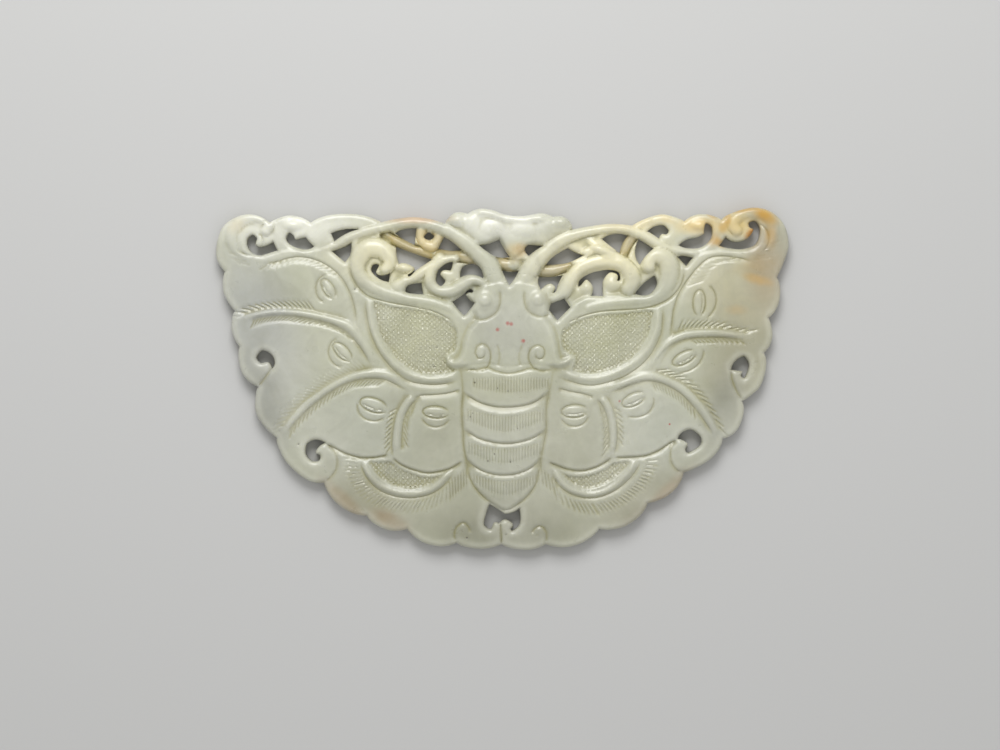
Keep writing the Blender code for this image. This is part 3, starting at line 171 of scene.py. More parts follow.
# Each opening is a loop of sides. A side starts at a corner and bends through its other points.
OPENINGS = {
    "left volute": [[(273.5, 242.2)], [(277.5, 250.4), (268.5, 253.5), (260, 255.5), (252, 252.5),
        (247.7, 246), (248, 239), (252.7, 235.2), (257, 238.5), (256, 244.6), (260, 247.1), (267, 245.6)]],
    "left comma": [[(306, 237.5), (310, 242.5)], [(314.2, 246.5), (305.4, 249.5), (292.3, 245.8),
        (286.5, 239.5), (289.2, 233.1), (293.3, 235.5), (295.8, 239.6), (300.5, 238.5)]],
    "left slit": [[(331.5, 233.5), (344, 229.6)], [(358.1, 229.5), (346, 234)], [(334.6, 241.5)]],
    "left wedge": [[(332.3, 251.5), (343, 247.5)], [(351.5, 243.1), (350.5, 254)],
        [(345.2, 262.3), (338, 256.4)]],
    "left scroll": [[(390.4, 273.3)], [(388.8, 281.9), (378.8, 278.5), (371.6, 271), (373.5, 264.8),
        (379, 265.4), (376.2, 272.5), (381, 275.6)]],
    "under left stem": [[(396.2, 246.9), (413, 253)], [(432.1, 259.8), (417.3, 270), (410.5, 276.3)],
        [(408.1, 275), (414.5, 268.5), (406.5, 263.6)], [(398.8, 264.1), (396.8, 255)]],
    "left foot": [[(421.5, 283.1)], [(423.1, 294.2), (408.5, 293.1), (405.8, 290), (409, 285.2)]],
    "over left stem": [[(395.2, 233.5), (404, 229.2)], [(416.5, 228.5), (415.4, 238)],
        [(414.8, 244.6), (404.2, 239.6)]],
    "left ring":
        [[(424.2, 236.5), (428.5, 232.5), (433.7, 235.8), (431, 239.8), (426, 239.2), (424.2, 236.5)]],
    "left of the cloud": [[(444.2, 237.3), (453.1, 242.7)], [(461.2, 250), (450, 250.5)],
        [(438.3, 248.5), (441, 243)]],
    "left leaf hook": [[(452.7, 262.1), (452, 267)], [(450.4, 270.8), (443, 270.6), (440.5, 275),
        (445.2, 281), (440.8, 286.2), (436.4, 281), (438, 271), (445, 264.5)]],
    "left arch": [[(460.4, 277.7), (462.5, 267.5), (471.9, 263.9), (480, 267.8)],
        [(483.3, 278.5), (471, 274.6)]],
    "left diamond": [[(452.7, 301.9), (462, 295.6), (469.2, 289.6)], [(473.3, 291.5)],
        [(472, 292.9), (468.5, 292.6)], [(465.8, 295), (469, 299)], [(474.8, 303.1), (470, 309.5)],
        [(464.2, 315.8), (457.5, 308.5)]],
    "under the cloud": [[(479.2, 245.4), (488, 244)], [(499.2, 239.6), (504, 248.5)],
        [(509.8, 257.3), (497, 257), (487.5, 252)]],
    "between the antennae": [[(502.3, 270.2), (510.5, 271.8)], [(518.5, 270.9), (514, 279.5)],
        [(509.2, 285.5), (505, 277)]],
    "right of the cloud": [[(542.7, 246.2), (535, 251)],
        [(528.8, 256), (524.8, 250), (528, 245.3), (535, 245.5)]],
    "under right antenna": [[(568.1, 248.3), (576, 252.8)], [(583.5, 255.5), (570, 262), (558, 264.2)],
        [(546.5, 264.5), (554, 256.2)]],
    "right arch": [[(539.2, 276.7), (550, 276.9)], [(562.5, 275.5), (558, 284.5), (556, 291)],
        [(553, 292.7), (555, 287), (549.2, 283.8)], [(540.8, 289.8), (538.2, 283)]],
    "right diamond": [[(564.2, 298.8)], [(570.2, 307.3)], [(557.3, 320.4)], [(549, 310.2)],
        [(551.2, 303.5)]],
    "mushroom": [[(578.5, 286.9), (580.8, 279.2), (592, 272.8), (607.7, 270), (618, 272.3), (619.8, 279.5)],
        [(616.9, 280.6), (617, 274.5), (609.2, 272.8), (603, 281), (602.5, 290)], [(602.8, 296.3)],
        [(591, 295.8), (592.8, 287), (586.5, 279.8), (581, 285)]],
    "right fan": [[(601.7, 239.1), (614, 234)], [(627.8, 235.6), (622.5, 243.5)],
        [(619.6, 253.1), (610, 246)]],
    "right petal gap": [[(638.5, 239.1), (646.5, 244)], [(653.2, 248.8), (645.5, 256)],
        [(639.6, 264.8), (635, 253.5)]],
    "right bean":
        [[(647.3, 231.5), (655, 226.3), (663, 225.4), (668.3, 230.5), (666.3, 234.4), (661.5, 234.3)],
        [(658.8, 238.8), (653, 234.8)]],
    "right comma": [[(678.7, 245.4), (687, 239.7), (697, 237.4)],
        [(703.8, 233.5), (705.5, 223.8), (711.5, 227.5), (710.5, 239), (700.8, 247.3), (688, 248.4)]],
    "right volute": [[(719.1, 245.8)],
        [(725.4, 237.5), (735, 241.9), (746.2, 239.2), (753, 230.5), (749.2, 227.3)],
        [(748.5, 223.2), (755.8, 221.9), (759.7, 231), (755.4, 244.2), (742, 249.2), (728, 248.2)]],
    "right wedge": [[(677.7, 257.3), (683, 256)], [(692.3, 257.9)], [(685.8, 266.2)]],
    "right half moon": [[(635, 293.8), (643, 284)], [(654.2, 275.8), (656.3, 285.5), (648, 294.8)]],
    "left crescent": [[(272.5, 368.3), (268.5, 362.2), (261, 362.9), (257, 357.5), (262.7, 350.6),
        (271.5, 354.3), (275, 362)]],
    "lower left crescent": [[(325.4, 442.7), (316, 439.6), (307.5, 443.8), (306, 454), (312, 460.8),
        (319.2, 460.4), (320.5, 455.3), (316, 452.5), (319, 446.8)]],
    "right crescent":
        [[(730.8, 369.6), (735, 361.2), (743.8, 356.5), (748.7, 365), (745, 376.9), (741, 376.5)],
        [(742.3, 371.4)]],
    "lower right crescent": [[(677.5, 438.8), (682.3, 431.9), (691, 429.6), (700, 436.5), (700, 445),
        (688.5, 452.5), (685.2, 449.3), (687.4, 443.8), (682.5, 440)]],
    "tail": [[(489.6, 504), (497, 508.4)], [(504.5, 513.6), (512, 512.4)],
        [(519.2, 508.5), (519.8, 523), (513.5, 530)], [(510.8, 528.5), (512.6, 523.5), (505.4, 519.2)],
        [(499.2, 523.1), (494, 522.6), (490.5, 528.8), (484.3, 524.5), (486, 514)]],
}

# Cut lines: points, width of the slope left and right of the line in plan units, depth in metres.
CUTS = {
    "left vein 1 top": ([(238, 318), (258, 311.5), (282, 309.5), (305, 310.5), (327, 315), (350, 320.5)],
        12, 2.5, 0.00036),
    "left vein 1 foot": ([(247, 321), (265, 316), (285, 315), (308, 318), (330, 323.5), (348, 333),
        (360, 347), (372, 366)], 2.5, 12, 0.00036),
    "left shoulder": ([(262, 264), (276, 262.5), (288, 259), (300, 257.5), (313, 259.5), (326, 265),
        (338, 274), (347, 286), (353, 300), (356, 313), (356.5, 326)], 2.5, 7, 0.0004),
    "left band foot": ([(350.5, 264), (352, 275), (356.5, 285), (363, 292), (371, 297.5), (386, 302),
        (402, 305), (418, 308), (434, 312), (448, 319), (457, 327)], 2.5, 4, 0.0004),
    "left frame": ([(366, 299), (367, 315), (371, 333), (380, 353), (393, 369), (408, 380.5), (425, 384.5),
        (442, 384.5), (458, 380)], 2.5, 7, 0.00036),
    "left vein 2 top": ([(281, 432), (290, 418), (302, 404), (318, 392), (335, 381), (352, 373), (366, 369),
        (377, 368)], 12, 2.5, 0.00036),
    "left vein 2 foot": ([(285, 437), (296, 422), (310, 408), (325, 396), (340, 386.5), (355, 380.5),
        (370, 378.5), (384, 379.5), (396, 384.5), (411, 392)], 2.5, 12, 0.00036),
    "left vein 3 outer": ([(411, 393), (402, 403), (396, 416), (393, 432), (392, 446), (394, 458)],
        2.5, 12, 0.00036),
    "left vein 3 inner": ([(420, 397), (411, 406), (405, 418), (402.5, 434), (402, 452)], 12, 2.5, 0.0004),
    "left inner lobe top": ([(414, 398.5), (422, 395.5), (436, 394.8), (450, 393), (461, 389)],
        2.5, 9, 0.0004),
    "left third lobe foot": ([(325, 443), (336, 448.5), (348, 454), (362, 457.5), (376, 457), (390, 454)],
        2.5, 7, 0.0006),
    "left inner lobe foot": ([(392, 456), (400, 463.5), (412, 469), (427, 472.5), (441, 471), (453, 467),
        (463, 460)], 2.5, 7, 0.0006),
    "left crescent frame": ([(361, 460), (366, 476), (378, 489), (394, 496), (412, 498), (428, 495),
        (441, 488), (450, 478), (454, 469)], 2.5, 6, 0.00036),
    "left curl": ([(324, 482), (331, 477), (336.5, 469), (337.5, 459), (334, 450), (326, 443.5)],
        3, 8, 0.00036),
    "left flange curl": ([(258.8, 386), (264, 380), (269, 373), (272.5, 368.5)], 4, 4, 0.0004),
    "right vein 1 top": ([(669, 337), (680, 331.5), (696, 329.5), (715, 329), (733, 332), (752, 333)],
        12, 2.5, 0.00036),
    "right vein 1 foot": ([(650, 372), (655, 362), (662, 352), (672, 344), (686, 339), (705, 337.5),
        (727, 338), (746, 340)], 2.5, 12, 0.00036),
    "right shoulder": ([(752, 262), (736, 258), (720, 256.5), (708, 259), (697, 268), (686, 282),
        (678, 295), (673, 310), (671, 325), (669, 337)], 7, 2.5, 0.0004),
    "right band foot": ([(563, 327), (572, 321), (585, 315.5), (600, 312), (618, 310.5), (640, 309),
        (657, 305), (670, 298), (679, 288), (683, 277), (682.5, 267)], 2.5, 4, 0.0004),
    "right frame": ([(662, 305), (662, 322), (660, 335), (652, 352), (641, 365), (625, 376), (606, 383),
        (590, 385.5), (575, 383), (557, 376)], 7, 2.5, 0.00036),
    "right vein 2 top": ([(652, 371), (665, 376), (680, 382.5), (692, 392), (703, 405), (712, 419),
        (719, 433)], 12, 2.5, 0.00036),
    "right vein 2 foot": ([(606, 393), (622, 388), (636, 382.5), (650, 381), (664, 384.5), (679, 393),
        (692, 406), (703, 420), (713, 436)], 2.5, 12, 0.00036),
    "right vein 3 outer": ([(604, 394), (612, 407), (616, 421), (617, 438), (614, 454)], 12, 2.5, 0.00036),
    "right vein 3 inner": ([(596, 398), (603, 408), (607, 420), (608.5, 435), (608, 451)], 2.5, 12, 0.0004),
    "right inner lobe top": ([(557, 388), (570, 391.5), (583, 394), (594, 397.5)], 2.5, 9, 0.0004),
    "right third lobe foot": ([(613, 457), (628, 457), (645, 455.5), (658, 450.5), (669, 443.5),
        (678, 439.5)], 2.5, 7, 0.0006),
    "right inner lobe foot": ([(547, 461), (556, 465), (568, 469), (581, 470.5), (594, 467.5), (605, 462),
        (612, 456)], 2.5, 7, 0.0006),
    "right crescent frame": ([(551, 470), (557, 483), (568, 492.5), (583, 497.5), (598, 497), (614, 491),
        (627, 481), (636, 470), (640, 459)], 2.5, 6, 0.00036),
    "right curl": ([(683, 472), (676, 469.5), (671, 462), (670, 452), (672.5, 445), (678, 440)],
        8, 3, 0.00036),
    "right flange curl": ([(742, 400), (736, 391), (732, 381), (731, 370.5)], 4, 4, 0.0004),
    "left tail scroll": ([(456.5, 541), (454.5, 534), (457, 526.5), (463, 522.5), (468, 526), (470, 533)],
        4, 3, 0.00035),
    "right tail scroll": ([(545, 543), (546.5, 536), (545, 529.5), (540, 526), (534.5, 528.5), (532, 534)],
        3, 4, 0.00035),
    "tail cleft": ([(500.5, 523.5), (501, 533), (501.5, 543)], 3, 3, 0.0006),
    "first ring": ([(463, 392), (478, 402), (493, 406.5), (507, 407.5), (522, 406), (536, 401.5),
        (549, 391)], 3.5, 16, 0.0006),
    "second ring": ([(464, 428), (477, 437.5), (492, 442), (507, 443.5), (522, 441.5), (536, 436.5),
        (546, 428)], 3.5, 16, 0.0006),
    "third ring": ([(465, 457), (477, 468), (491, 473.5), (505, 475), (519, 473), (532, 467), (541, 456)],
        3.5, 16, 0.0006),
    "left brow": ([(499.5, 290), (500.5, 300), (499, 308), (495, 314), (485, 319.5), (473, 318.5)],
        3, 6, 0.0004),
    "right brow": ([(524, 291), (524, 300), (526, 308), (531, 314), (541, 317), (551, 314)], 6, 3, 0.0004),
    "mouth": ([(463, 370), (475, 369.5), (487, 367.5), (496, 371), (508, 373.5), (519, 371.5), (530, 368.5),
        (541, 370), (553, 369.5)], 3, 3, 0.0003),
    "left nostril curl": ([(470, 369), (480, 370.5), (487.5, 367), (490.5, 359), (489.5, 350), (484, 344.5),
        (478, 346), (475.5, 352.5), (478.5, 358.5), (483.5, 357.5), (485, 353), (482, 350.5)],
        2.2, 2.8, 0.0003),
    "right nostril curl": ([(551, 370), (541, 371), (532.5, 367), (528.5, 359), (530, 350), (536, 345.5),
        (542, 347), (544.5, 353), (541.5, 359), (536.5, 358), (535, 353.5), (538, 351)], 2.8, 2.2, 0.0003),
    "left cheek": ([(497, 344), (499.5, 355), (498, 366)], 3, 5, 0.0002),
    "right cheek": ([(523, 344), (519, 355), (520.5, 366)], 5, 3, 0.0002),
}

# Beads: narrow raised rims, as points, half-width and rise.
BEADS = {
    "left vein 1": ([(243, 319), (264, 313.5), (284, 312), (306, 314), (330, 319), (350, 327), (363, 342),
        (374, 362)], 5, 0.0004),
    "left pane rim": ([(370, 300), (371, 316), (375, 333), (384, 351), (396, 365), (410, 374.5), (426, 379),
        (443, 378.8), (459, 374)], 3.4, 0.00036),
    "left vein 2": ([(283, 434), (293, 420), (306, 406), (321, 394), (337, 383.5), (354, 376.5),
        (372, 373.5), (390, 375), (405, 383)], 5, 0.0004),
    "left vein 3": ([(414, 396), (405, 406), (399.5, 418), (397, 433), (396.5, 450)], 4, 0.00036),
    "cloud crest": ([(474, 214), (482, 211.5), (492, 213.5), (505, 217.5), (520, 219), (535, 218.5),
        (547, 216.5)], 6, 0.0006),
    "left crescent rim": ([(364, 461), (370, 474), (381, 485), (396, 491.5), (412, 493.5), (427, 490.5),
        (438, 484), (446, 475), (450, 469)], 3.2, 0.0004),
    "right vein 1": ([(653, 370), (659, 355), (669, 343), (683, 335.5), (700, 333), (720, 333),
        (744, 336.5)], 5, 0.0004),
    "right pane rim": ([(657, 306), (657, 321), (654.5, 333), (648, 347.5), (637, 360), (622, 370),
        (606, 376.5), (591, 379), (576, 377), (560, 371)], 3.4, 0.00036),
    "right vein 2": ([(610, 389), (628, 381), (647, 376), (664, 379.5), (680, 387.5), (693, 399),
        (705, 412), (716, 434)], 5, 0.0004),
    "right vein 3": ([(600, 397), (608, 408), (612, 421), (613, 436), (611.5, 452)], 4, 0.00036),
    "right crescent rim": ([(554.5, 469), (561, 481), (571, 489), (586, 493.5), (600, 492.5), (613, 486),
        (624, 476), (632, 466), (635, 459)], 3.2, 0.0004),
    "second ring ledge": ([(468, 403), (476, 407), (490, 412), (505, 414), (520, 412), (534, 407.5),
        (542, 403)], 2.4, 0.00016),
    "third ring ledge": ([(469, 437), (478, 441.5), (491, 445.5), (506, 447), (521, 445), (533, 441),
        (540, 436)], 2.4, 0.00016),
    "fourth ring ledge": ([(473, 468), (480, 473), (492, 477.5), (505, 478.5), (518, 477), (529, 472.5),
        (536, 467)], 2.4, 0.00016),
}

# Eye spots on the wings: centre, half axes and tilt in degrees of the lens, and the line of its hood.
EYE_SPOTS = {
    "left 1": ((329, 289), (11, 5.5), 58,
        [(325.7, 303), (318.6, 297.3), (316.4, 287.7), (320.1, 278.7), (328, 274.6)]),
    "left 2": ((343, 352), (12, 6), 45,
        [(344.2, 367), (334.7, 364), (329.4, 354.6), (331.3, 344), (339.4, 337.5)]),
    "left 3": ((374, 405), (14, 7), 18,
        [(385.4, 416.3), (376.8, 420.8), (366.4, 419), (359.4, 412), (358.1, 402)]),
    "left 4": ((436, 412), (13, 6), 4,
        [(449.6, 418.3), (444, 424.7), (435.5, 427), (427.2, 424), (422, 417)]),
    "right 1": ((698.5, 303), (13, 6.3), 92,
        [(707, 285), (713.5, 292), (715.5, 302), (712, 312), (705, 319)]),
    "right 2": ((683.5, 358), (13, 6), -28,
        [(677, 373), (689, 370.5), (698, 364), (702.5, 355), (702, 348)]),
    "right 3": ((633, 399.5), (12.5, 6.3), -25,
        [(626, 415.5), (637, 417), (647.5, 413), (653, 404), (652, 396)]),
    "right 4": ((574, 411), (13, 6.5), -3,
        [(588.5, 415), (583.6, 423), (575.3, 426.4), (566.5, 424.4), (560.4, 417.6)]),
}

# Panes: sunk fields for the netting.
PANES = {
    "left upper": [(374, 301), (395, 305.5), (415, 308), (432, 312), (447, 319), (456, 326), (459, 334),
        (457, 350), (449, 356), (449, 364), (458, 371), (443, 375), (426, 375.5), (412, 371), (399, 362),
        (388, 349), (379, 333), (375, 316)],
    "right upper": [(652, 309.5), (652, 322), (648, 337), (640, 350), (629, 361), (615, 369), (600, 373.5),
        (586, 374.5), (571, 371), (574, 360), (568, 354), (561, 350), (560, 332), (570, 323), (585, 316.5),
        (603, 313), (625, 311.5)],
    "left lower": [(368, 461), (380, 460), (392, 460), (401, 466.5), (413, 472), (427, 475.5), (441, 474),
        (447, 471), (442, 478), (434, 484), (424, 487.5), (411, 489.5), (397, 487.5), (384, 481.5),
        (374, 472)],
    "right lower": [(558, 469), (568, 473.5), (581, 474.5), (595, 471.5), (606, 466), (614, 461),
        (630, 460.5), (627, 467), (618, 476), (608, 483), (596, 488), (584, 489), (573, 485), (563, 477)],
}

HEAD = [
    (474, 318), (466, 328), (461.5, 340), (459, 351), (455.5, 357), (451, 359), (447, 352.5), (444.5, 355),
    (446, 362), (452, 368), (460, 370), (470, 369.5), (480, 369), (487, 367.5), (495, 370), (507, 372),
    (520, 370.5), (530, 368.5), (541, 370), (552, 369.5), (561, 370), (569, 366), (574, 359.5),
    (573.5, 355.5), (568, 355.5), (562, 357), (560, 350), (558.5, 340), (555, 328), (549, 318), (550, 308),
    (547, 296), (544, 286), (532, 276), (509, 274), (488, 276), (477, 287), (471, 299), (470, 309),
]

ABDOMEN = [
    (461, 354), (461, 372), (463, 392), (462, 410), (463, 430), (464, 447), (467, 462), (470, 478),
    (478, 491), (489, 501), (504.5, 510), (518, 504), (530, 493), (537, 480), (540, 463), (543, 447),
    (546, 430), (546, 410), (549, 392), (553, 372), (553, 354),
]

CLOUD = [
    (446, 223), (449, 217), (456, 212), (468, 213), (480, 208.5), (492, 209), (506, 214), (522, 215.5),
    (540, 212.5), (553, 216), (565, 217), (571, 224), (571, 230), (558, 238), (546, 245), (532, 244.5),
    (523, 252), (514, 258), (506, 250), (500, 239), (488, 244), (478, 245), (466, 236), (454, 228),
]

# The openwork band between the wings' top edge and the rim lies lower than the wings.
BAY = [
    (238, 226), (250, 222), (262, 222), (300, 216), (340, 212), (400, 216), (440, 220), (500, 208),
    (560, 214), (600, 222), (632, 222), (660, 213), (700, 213), (728, 218), (752, 214), (768, 226),
    (764, 244), (752, 254), (725, 253), (700, 257), (686, 268), (672, 272), (664, 286), (650, 296.5),
    (620, 297.5), (592, 298), (572, 308), (557, 322), (548, 312), (546, 292), (520, 284), (500, 284),
    (474, 292), (474, 306), (464, 318), (451, 306), (425, 299), (405, 295), (388, 288), (372, 283),
    (360, 273), (350, 262), (330, 253), (300, 252.5), (272, 255), (250, 257), (241, 242),
]

# Stems that curve through the openwork: points with half-width, and the crest height at each end in metres.
# Each is laid over the ones before it, and the last two close the seams where longer ones meet.
STEMS = {
    "back stem": ([(386, 235.5, 5), (400, 243.5, 5), (415, 250, 5), (430, 254.5, 6), (445, 256, 6.5),
        (460, 256.5, 6), (475, 259.5, 5.5), (490, 263, 5.5), (505, 264.5, 6), (520, 266.5, 5.5),
        (535, 269.5, 6), (550, 270.5, 6), (562, 267.5, 6), (575, 261.5, 6), (588, 256, 6)],
        (0.0027, 0.0027)),
    "right back strut": ([(635, 233, 6), (628, 242, 6), (622, 254, 6)], (0.0030, 0.0030)),
    "left back hook": ([(421, 229, 6), (423, 240, 5.5), (431, 247, 5), (438, 240, 5), (437, 231, 5)],
        (0.0036, 0.0034)),
    "cloud stem": ([(510, 240, 10), (516, 250, 9), (516, 262, 8)], (0.0040, 0.0030)),
    "left antenna": ([(503, 303, 8), (495, 281, 10), (489, 265, 9.5), (478, 252, 9), (463, 240, 8.5),
        (447, 230.5, 7.5), (430, 224.5, 6.5), (412, 222.5, 5.5), (395, 225, 5.5), (378, 229, 5),
        (360, 233.5, 4.8), (345, 240, 4.5), (335, 246.5, 4), (324, 250.5, 3.2)], (0.0049, 0.0036)),
    "right antenna": ([(518, 303, 8), (524, 282, 10), (530, 270, 9.5), (538, 259, 9), (549, 249, 8.5),
        (562, 240, 7.5), (577, 234.5, 6.2), (592, 231, 5.5), (606, 229.3, 5), (620, 229, 4.8),
        (632, 231.5, 4.8), (644, 236.5, 4.8), (655, 243, 4.5), (668, 249, 4.2), (682, 252.5, 3.8),
        (696, 254, 3.2)], (0.0049, 0.0036)),
    "left scroll band": ([(386, 270, 5), (390, 260, 8), (382, 250, 10.5), (368, 249, 10.5), (359, 259, 8),
        (358, 271, 7), (365, 282, 7), (378, 290, 7), (395, 296, 6.5), (415, 300, 6), (435, 304, 6),
        (452, 311, 6)], (0.0048, 0.0044)),
    "left leaf stem": ([(398, 288, 9), (408, 281, 6.5), (420, 273.5, 6), (432, 266, 5.5), (440, 259, 5)],
        (0.0044, 0.0042)),
    "left curled leaf": ([(455, 259, 3.5), (440, 263, 4.5), (431, 272, 5), (431, 284, 5.5), (440, 291, 5.5),
        (452, 291, 6), (463, 285, 6), (473, 280, 5), (483, 283, 4)], (0.0042, 0.0048)),
    "right leaf stem": ([(556, 300, 7), (564, 291, 8), (571, 279, 6.5), (581, 268, 6.5), (596, 262, 7),
        (611, 261.5, 7.5), (624, 266, 8), (632, 278, 9), (628, 290, 8)], (0.0046, 0.0044)),
    "right scroll band": ([(648, 266, 7), (652, 257, 9), (663, 258, 10.5), (669, 268, 10.5),
        (668, 282, 9.5), (660, 293, 7.5), (645, 299.5, 6), (625, 302, 5.5), (605, 304, 5.5),
        (588, 308.5, 5.5)], (0.0048, 0.0044)),
    "right volute roll": ([(736, 231, 6), (733, 223, 7), (741, 214.5, 7), (755, 212.5, 7.5), (768, 219, 8),
        (773, 232, 8), (768, 245, 7), (758, 254, 5)], (0.0042, 0.0036)),
    "left volute roll": ([(267, 231, 5.5), (269, 222, 7), (259, 217, 7), (246, 219, 8), (235, 228, 8),
        (232, 240, 8), (238, 252, 6.5), (250, 259, 5)], (0.0042, 0.0036)),
    "right strut head": ([(633, 230, 5), (640, 225, 5.5), (649, 221, 6)], (0.0036, 0.0036)),
    "right leaf foot": ([(576, 262, 4), (584, 255, 5.5), (593, 251, 6), (604, 252, 6), (613, 256, 5),
        (620, 260, 4)], (0.0042, 0.0042)),
}

# Rounded knobs and leaves: centre, half axes, tilt in degrees, rise, softness of the foot.
KNOBS = {
    "left eye": ((484.5, 301), (10, 10), 0, 0.0003, 0.6),
    "left eyeball": ((485, 300.5), (6.5, 6.5), 0, 0.0005, 0.5),
    "right eye": ((538, 300.5), (10, 10), 0, 0.0003, 0.6),
    "right eyeball": ((538, 299.5), (6.8, 6.8), 0, 0.0005, 0.5),
    "left nostril": ((482, 352), (9, 9), 0, 0.0003, 1),
    "right nostril": ((538, 352), (9, 9), 0, 0.0003, 1),
    "left beak": ((404, 268), (10, 5.5), 10, 0.0010, 1.3),
    "right shell": ((612, 284), (9, 9), 0, 0.0006, 1.3),
    "left shell": ((586, 288), (7, 7), 0, 0.0006, 1.3),
    "right fan leaf": ((600, 249), (18, 7), 35, 0.0008, 1.3),
    "cloud 1": ((457, 221), (9, 8), 0, 0.0005, 1.3),
    "cloud 2": ((472, 222), (9, 12), 0, 0.0004, 1.3),
    "cloud 3": ((492, 228), (13, 9), 0, 0.0004, 1.3),
    "cloud 4": ((524, 229), (14, 9), 0, 0.0004, 1.3),
    "cloud 5": ((545, 227), (11, 10), 0, 0.0004, 1.3),
    "cloud 6": ((561, 222), (9, 8), 0, 0.0005, 1.3),
    "left bud": ((293, 226), (11, 6), 5, 0.0006, 1.3),
    "right bud": ((700, 226), (11, 6), 0, 0.0006, 1.3),
}

# Scrolls cut as spirals: centre, first and last radius, first and last angle in degrees, depth.
SCROLLS = {
    "left volute": ((252, 240), 9, 17, -60, 150, 0.0003),
    "right volute": ((752, 236), 10, 19, -120, 60, 0.0003),
}

# Rows of short strokes beside a line: the line, first and last share of it, side (+1 is right of the line),
# gap from the line, stroke length, lean forward at the first and the last stroke in degrees, pitch across.
FEATHERS = {
    "left vein 1 above": ("left vein 1 top", 0.02, 0.72, -1, 1.2, 15, -70, -46, 2.8),
    "left vein 1 below": ("left vein 1 foot", 0.06, 0.80, 1, 1.2, 12, -40, -76, 2.7),
    "left vein 2 above": ("left vein 2 top", 0.02, 0.93, -1, 1.2, 16, -62, -34, 2.8),
    "left vein 2 below": ("left vein 2 foot", 0.08, 0.83, 1, 1.2, 12, -66, -44, 2.8),
    "left vein 3 outer": ("left vein 3 outer", 0.28, 0.88, 1, 1.2, 12, 56, 56, 2.7),
    "left vein 3 inner": ("left vein 3 inner", 0.10, 0.80, -1, 1.2, 13, 62, 62, 2.6),
    "left border": ("left shoulder", 0.05, 0.62, 1, 1.2, 12, -66, -56, 2.8),
    "left rim": ("left rim line", 0.0, 1.0, -1, 0.5, 17, 54, 70, 2.8),
    "right vein 1 above": ("right vein 1 top", 0.12, 0.98, -1, 1.2, 15, 42, 82, 2.8),
    "right vein 1 below": ("right vein 1 foot", 0.50, 0.95, 1, 1.2, 9, 45, 62, 2.9),
    "right vein 2 above": ("right vein 2 top", 0.03, 0.97, -1, 1.2, 17, 62, 72, 2.8),
    "right vein 2 below": ("right vein 2 foot", 0.36, 0.76, 1, 1.2, 12, 32, 62, 2.7),
    "right vein 3 outer": ("right vein 3 outer", 0.25, 0.75, -1, 1.2, 10, 58, 58, 2.7),
    "right vein 3 inner": ("right vein 3 inner", 0.15, 0.95, 1, 1.2, 12, 62, 62, 2.6),
    "right border": ("right border line", 0.0, 1.0, -1, 1.0, 20, -80, -44, 2.4),
    "right rim": ("right rim line", 0.0, 1.0, 1, 0.5, 21, 48, 62, 2.6),
    "left crescent": ("left crescent frame", 0.0, 0.86, 1, 2, 18, -14, -50, 3.0),
    "left tail fan": ("left tail line", 0.0, 1.0, 1, 0.5, 23, -36, -40, 3.0),
    "right crescent": ("right crescent frame", 0.45, 1.0, 1, 5, 15, 28, 15, 3.0),
    "right crescent low": ("right crescent frame", 0.12, 0.45, 1, 4, 17, 66, 30, 3.0),
    "right tail fan": ("right tail line", 0.0, 1.0, 1, 0.5, 23, 50, 55, 3.0),
}
# Rows that are cut less deep than the rest: share of the full depth.
FAINT_FEATHERS = {
    "left rim": 0.45, "right rim": 0.45, "right border": 0.6, "left border": 0.7, "left vein 2 above": 0.65,
    "left crescent": 0.8,
}
FEATHER_GUIDES = {
    "left rim line": [(252, 265), (249, 262), (245, 258.5), (241, 254)],
    "right border line": [(722, 258.5), (708, 262), (697, 270), (689, 280), (684, 289)],
    "right rim line": [(752, 259.5), (755, 256), (759, 251.5), (764, 246)],
    "left tail line": [(449, 480), (467, 465)],
    "right tail line": [(541, 465), (557, 480)],
}

# Vertical strokes on the rings of the body: x from and to, upper y at the ends and in the middle,
# length at the ends and in the middle, and pitch.
RING_STROKES = {
    "ring 1": (474, 548, 377, 376, 13, 21, 2.9),
    "ring 2": (468, 543, 408, 414, 15, 22, 2.9),
    "ring 3": (469, 540, 441, 447, 15, 20, 2.9),
    "ring 4": (474, 536, 473, 479, 10, 20, 2.9),
}

# Small dents: centre, radius, depth in metres.
PITS = {
    "left upper wing": ((356, 289), 3.0, 0.00025),
    "left flange": ((299, 444), 2.6, 0.00022),
    "left tail": ((467, 537), 2.6, 0.0002),
    "left chin": ((474, 383), 1.8, 0.00015),
    "abdomen upper": ((516, 427), 1.8, 0.00015),
    "abdomen middle": ((494, 453), 1.8, 0.00015),
    "abdomen lower": ((510, 461), 1.8, 0.00015),
    "left pane upper": ((437, 347), 2.0, 0.00018),
    "left pane lower": ((434, 367), 2.0, 0.00018),
    "left openwork": ((383, 235), 3.0, 0.0003),
    "left openwork inner": ((427, 241), 2.6, 0.0003),
    "right tail": ((536.5, 535), 2.2, 0.0002),
    "middle tail": ((506, 534), 2.0, 0.00018),
}

# Camera: the picture's size and the lens
IMAGE_WIDTH = 1000
IMAGE_HEIGHT = 750
LENS = 100
SENSOR = 36
CLIP_START = 0.01

# Lights and floor: power in watts, sizes and places in metres
KEY_SIZE = 0.24
KEY_POWER = 1.4
KEY_PLACE = (-0.03, 0.31, 0.34)
FILL_SIZE = 0.8
FILL_POWER = 0.9
FILL_PLACE = (0.3, -0.7, 0.9)
SKY_STRENGTH = 0.55
FLOOR_HALF = 3.0
FLOOR_COLOUR = (0.55, 0.55, 0.54)
FLOOR_ROUGHNESS = 0.8

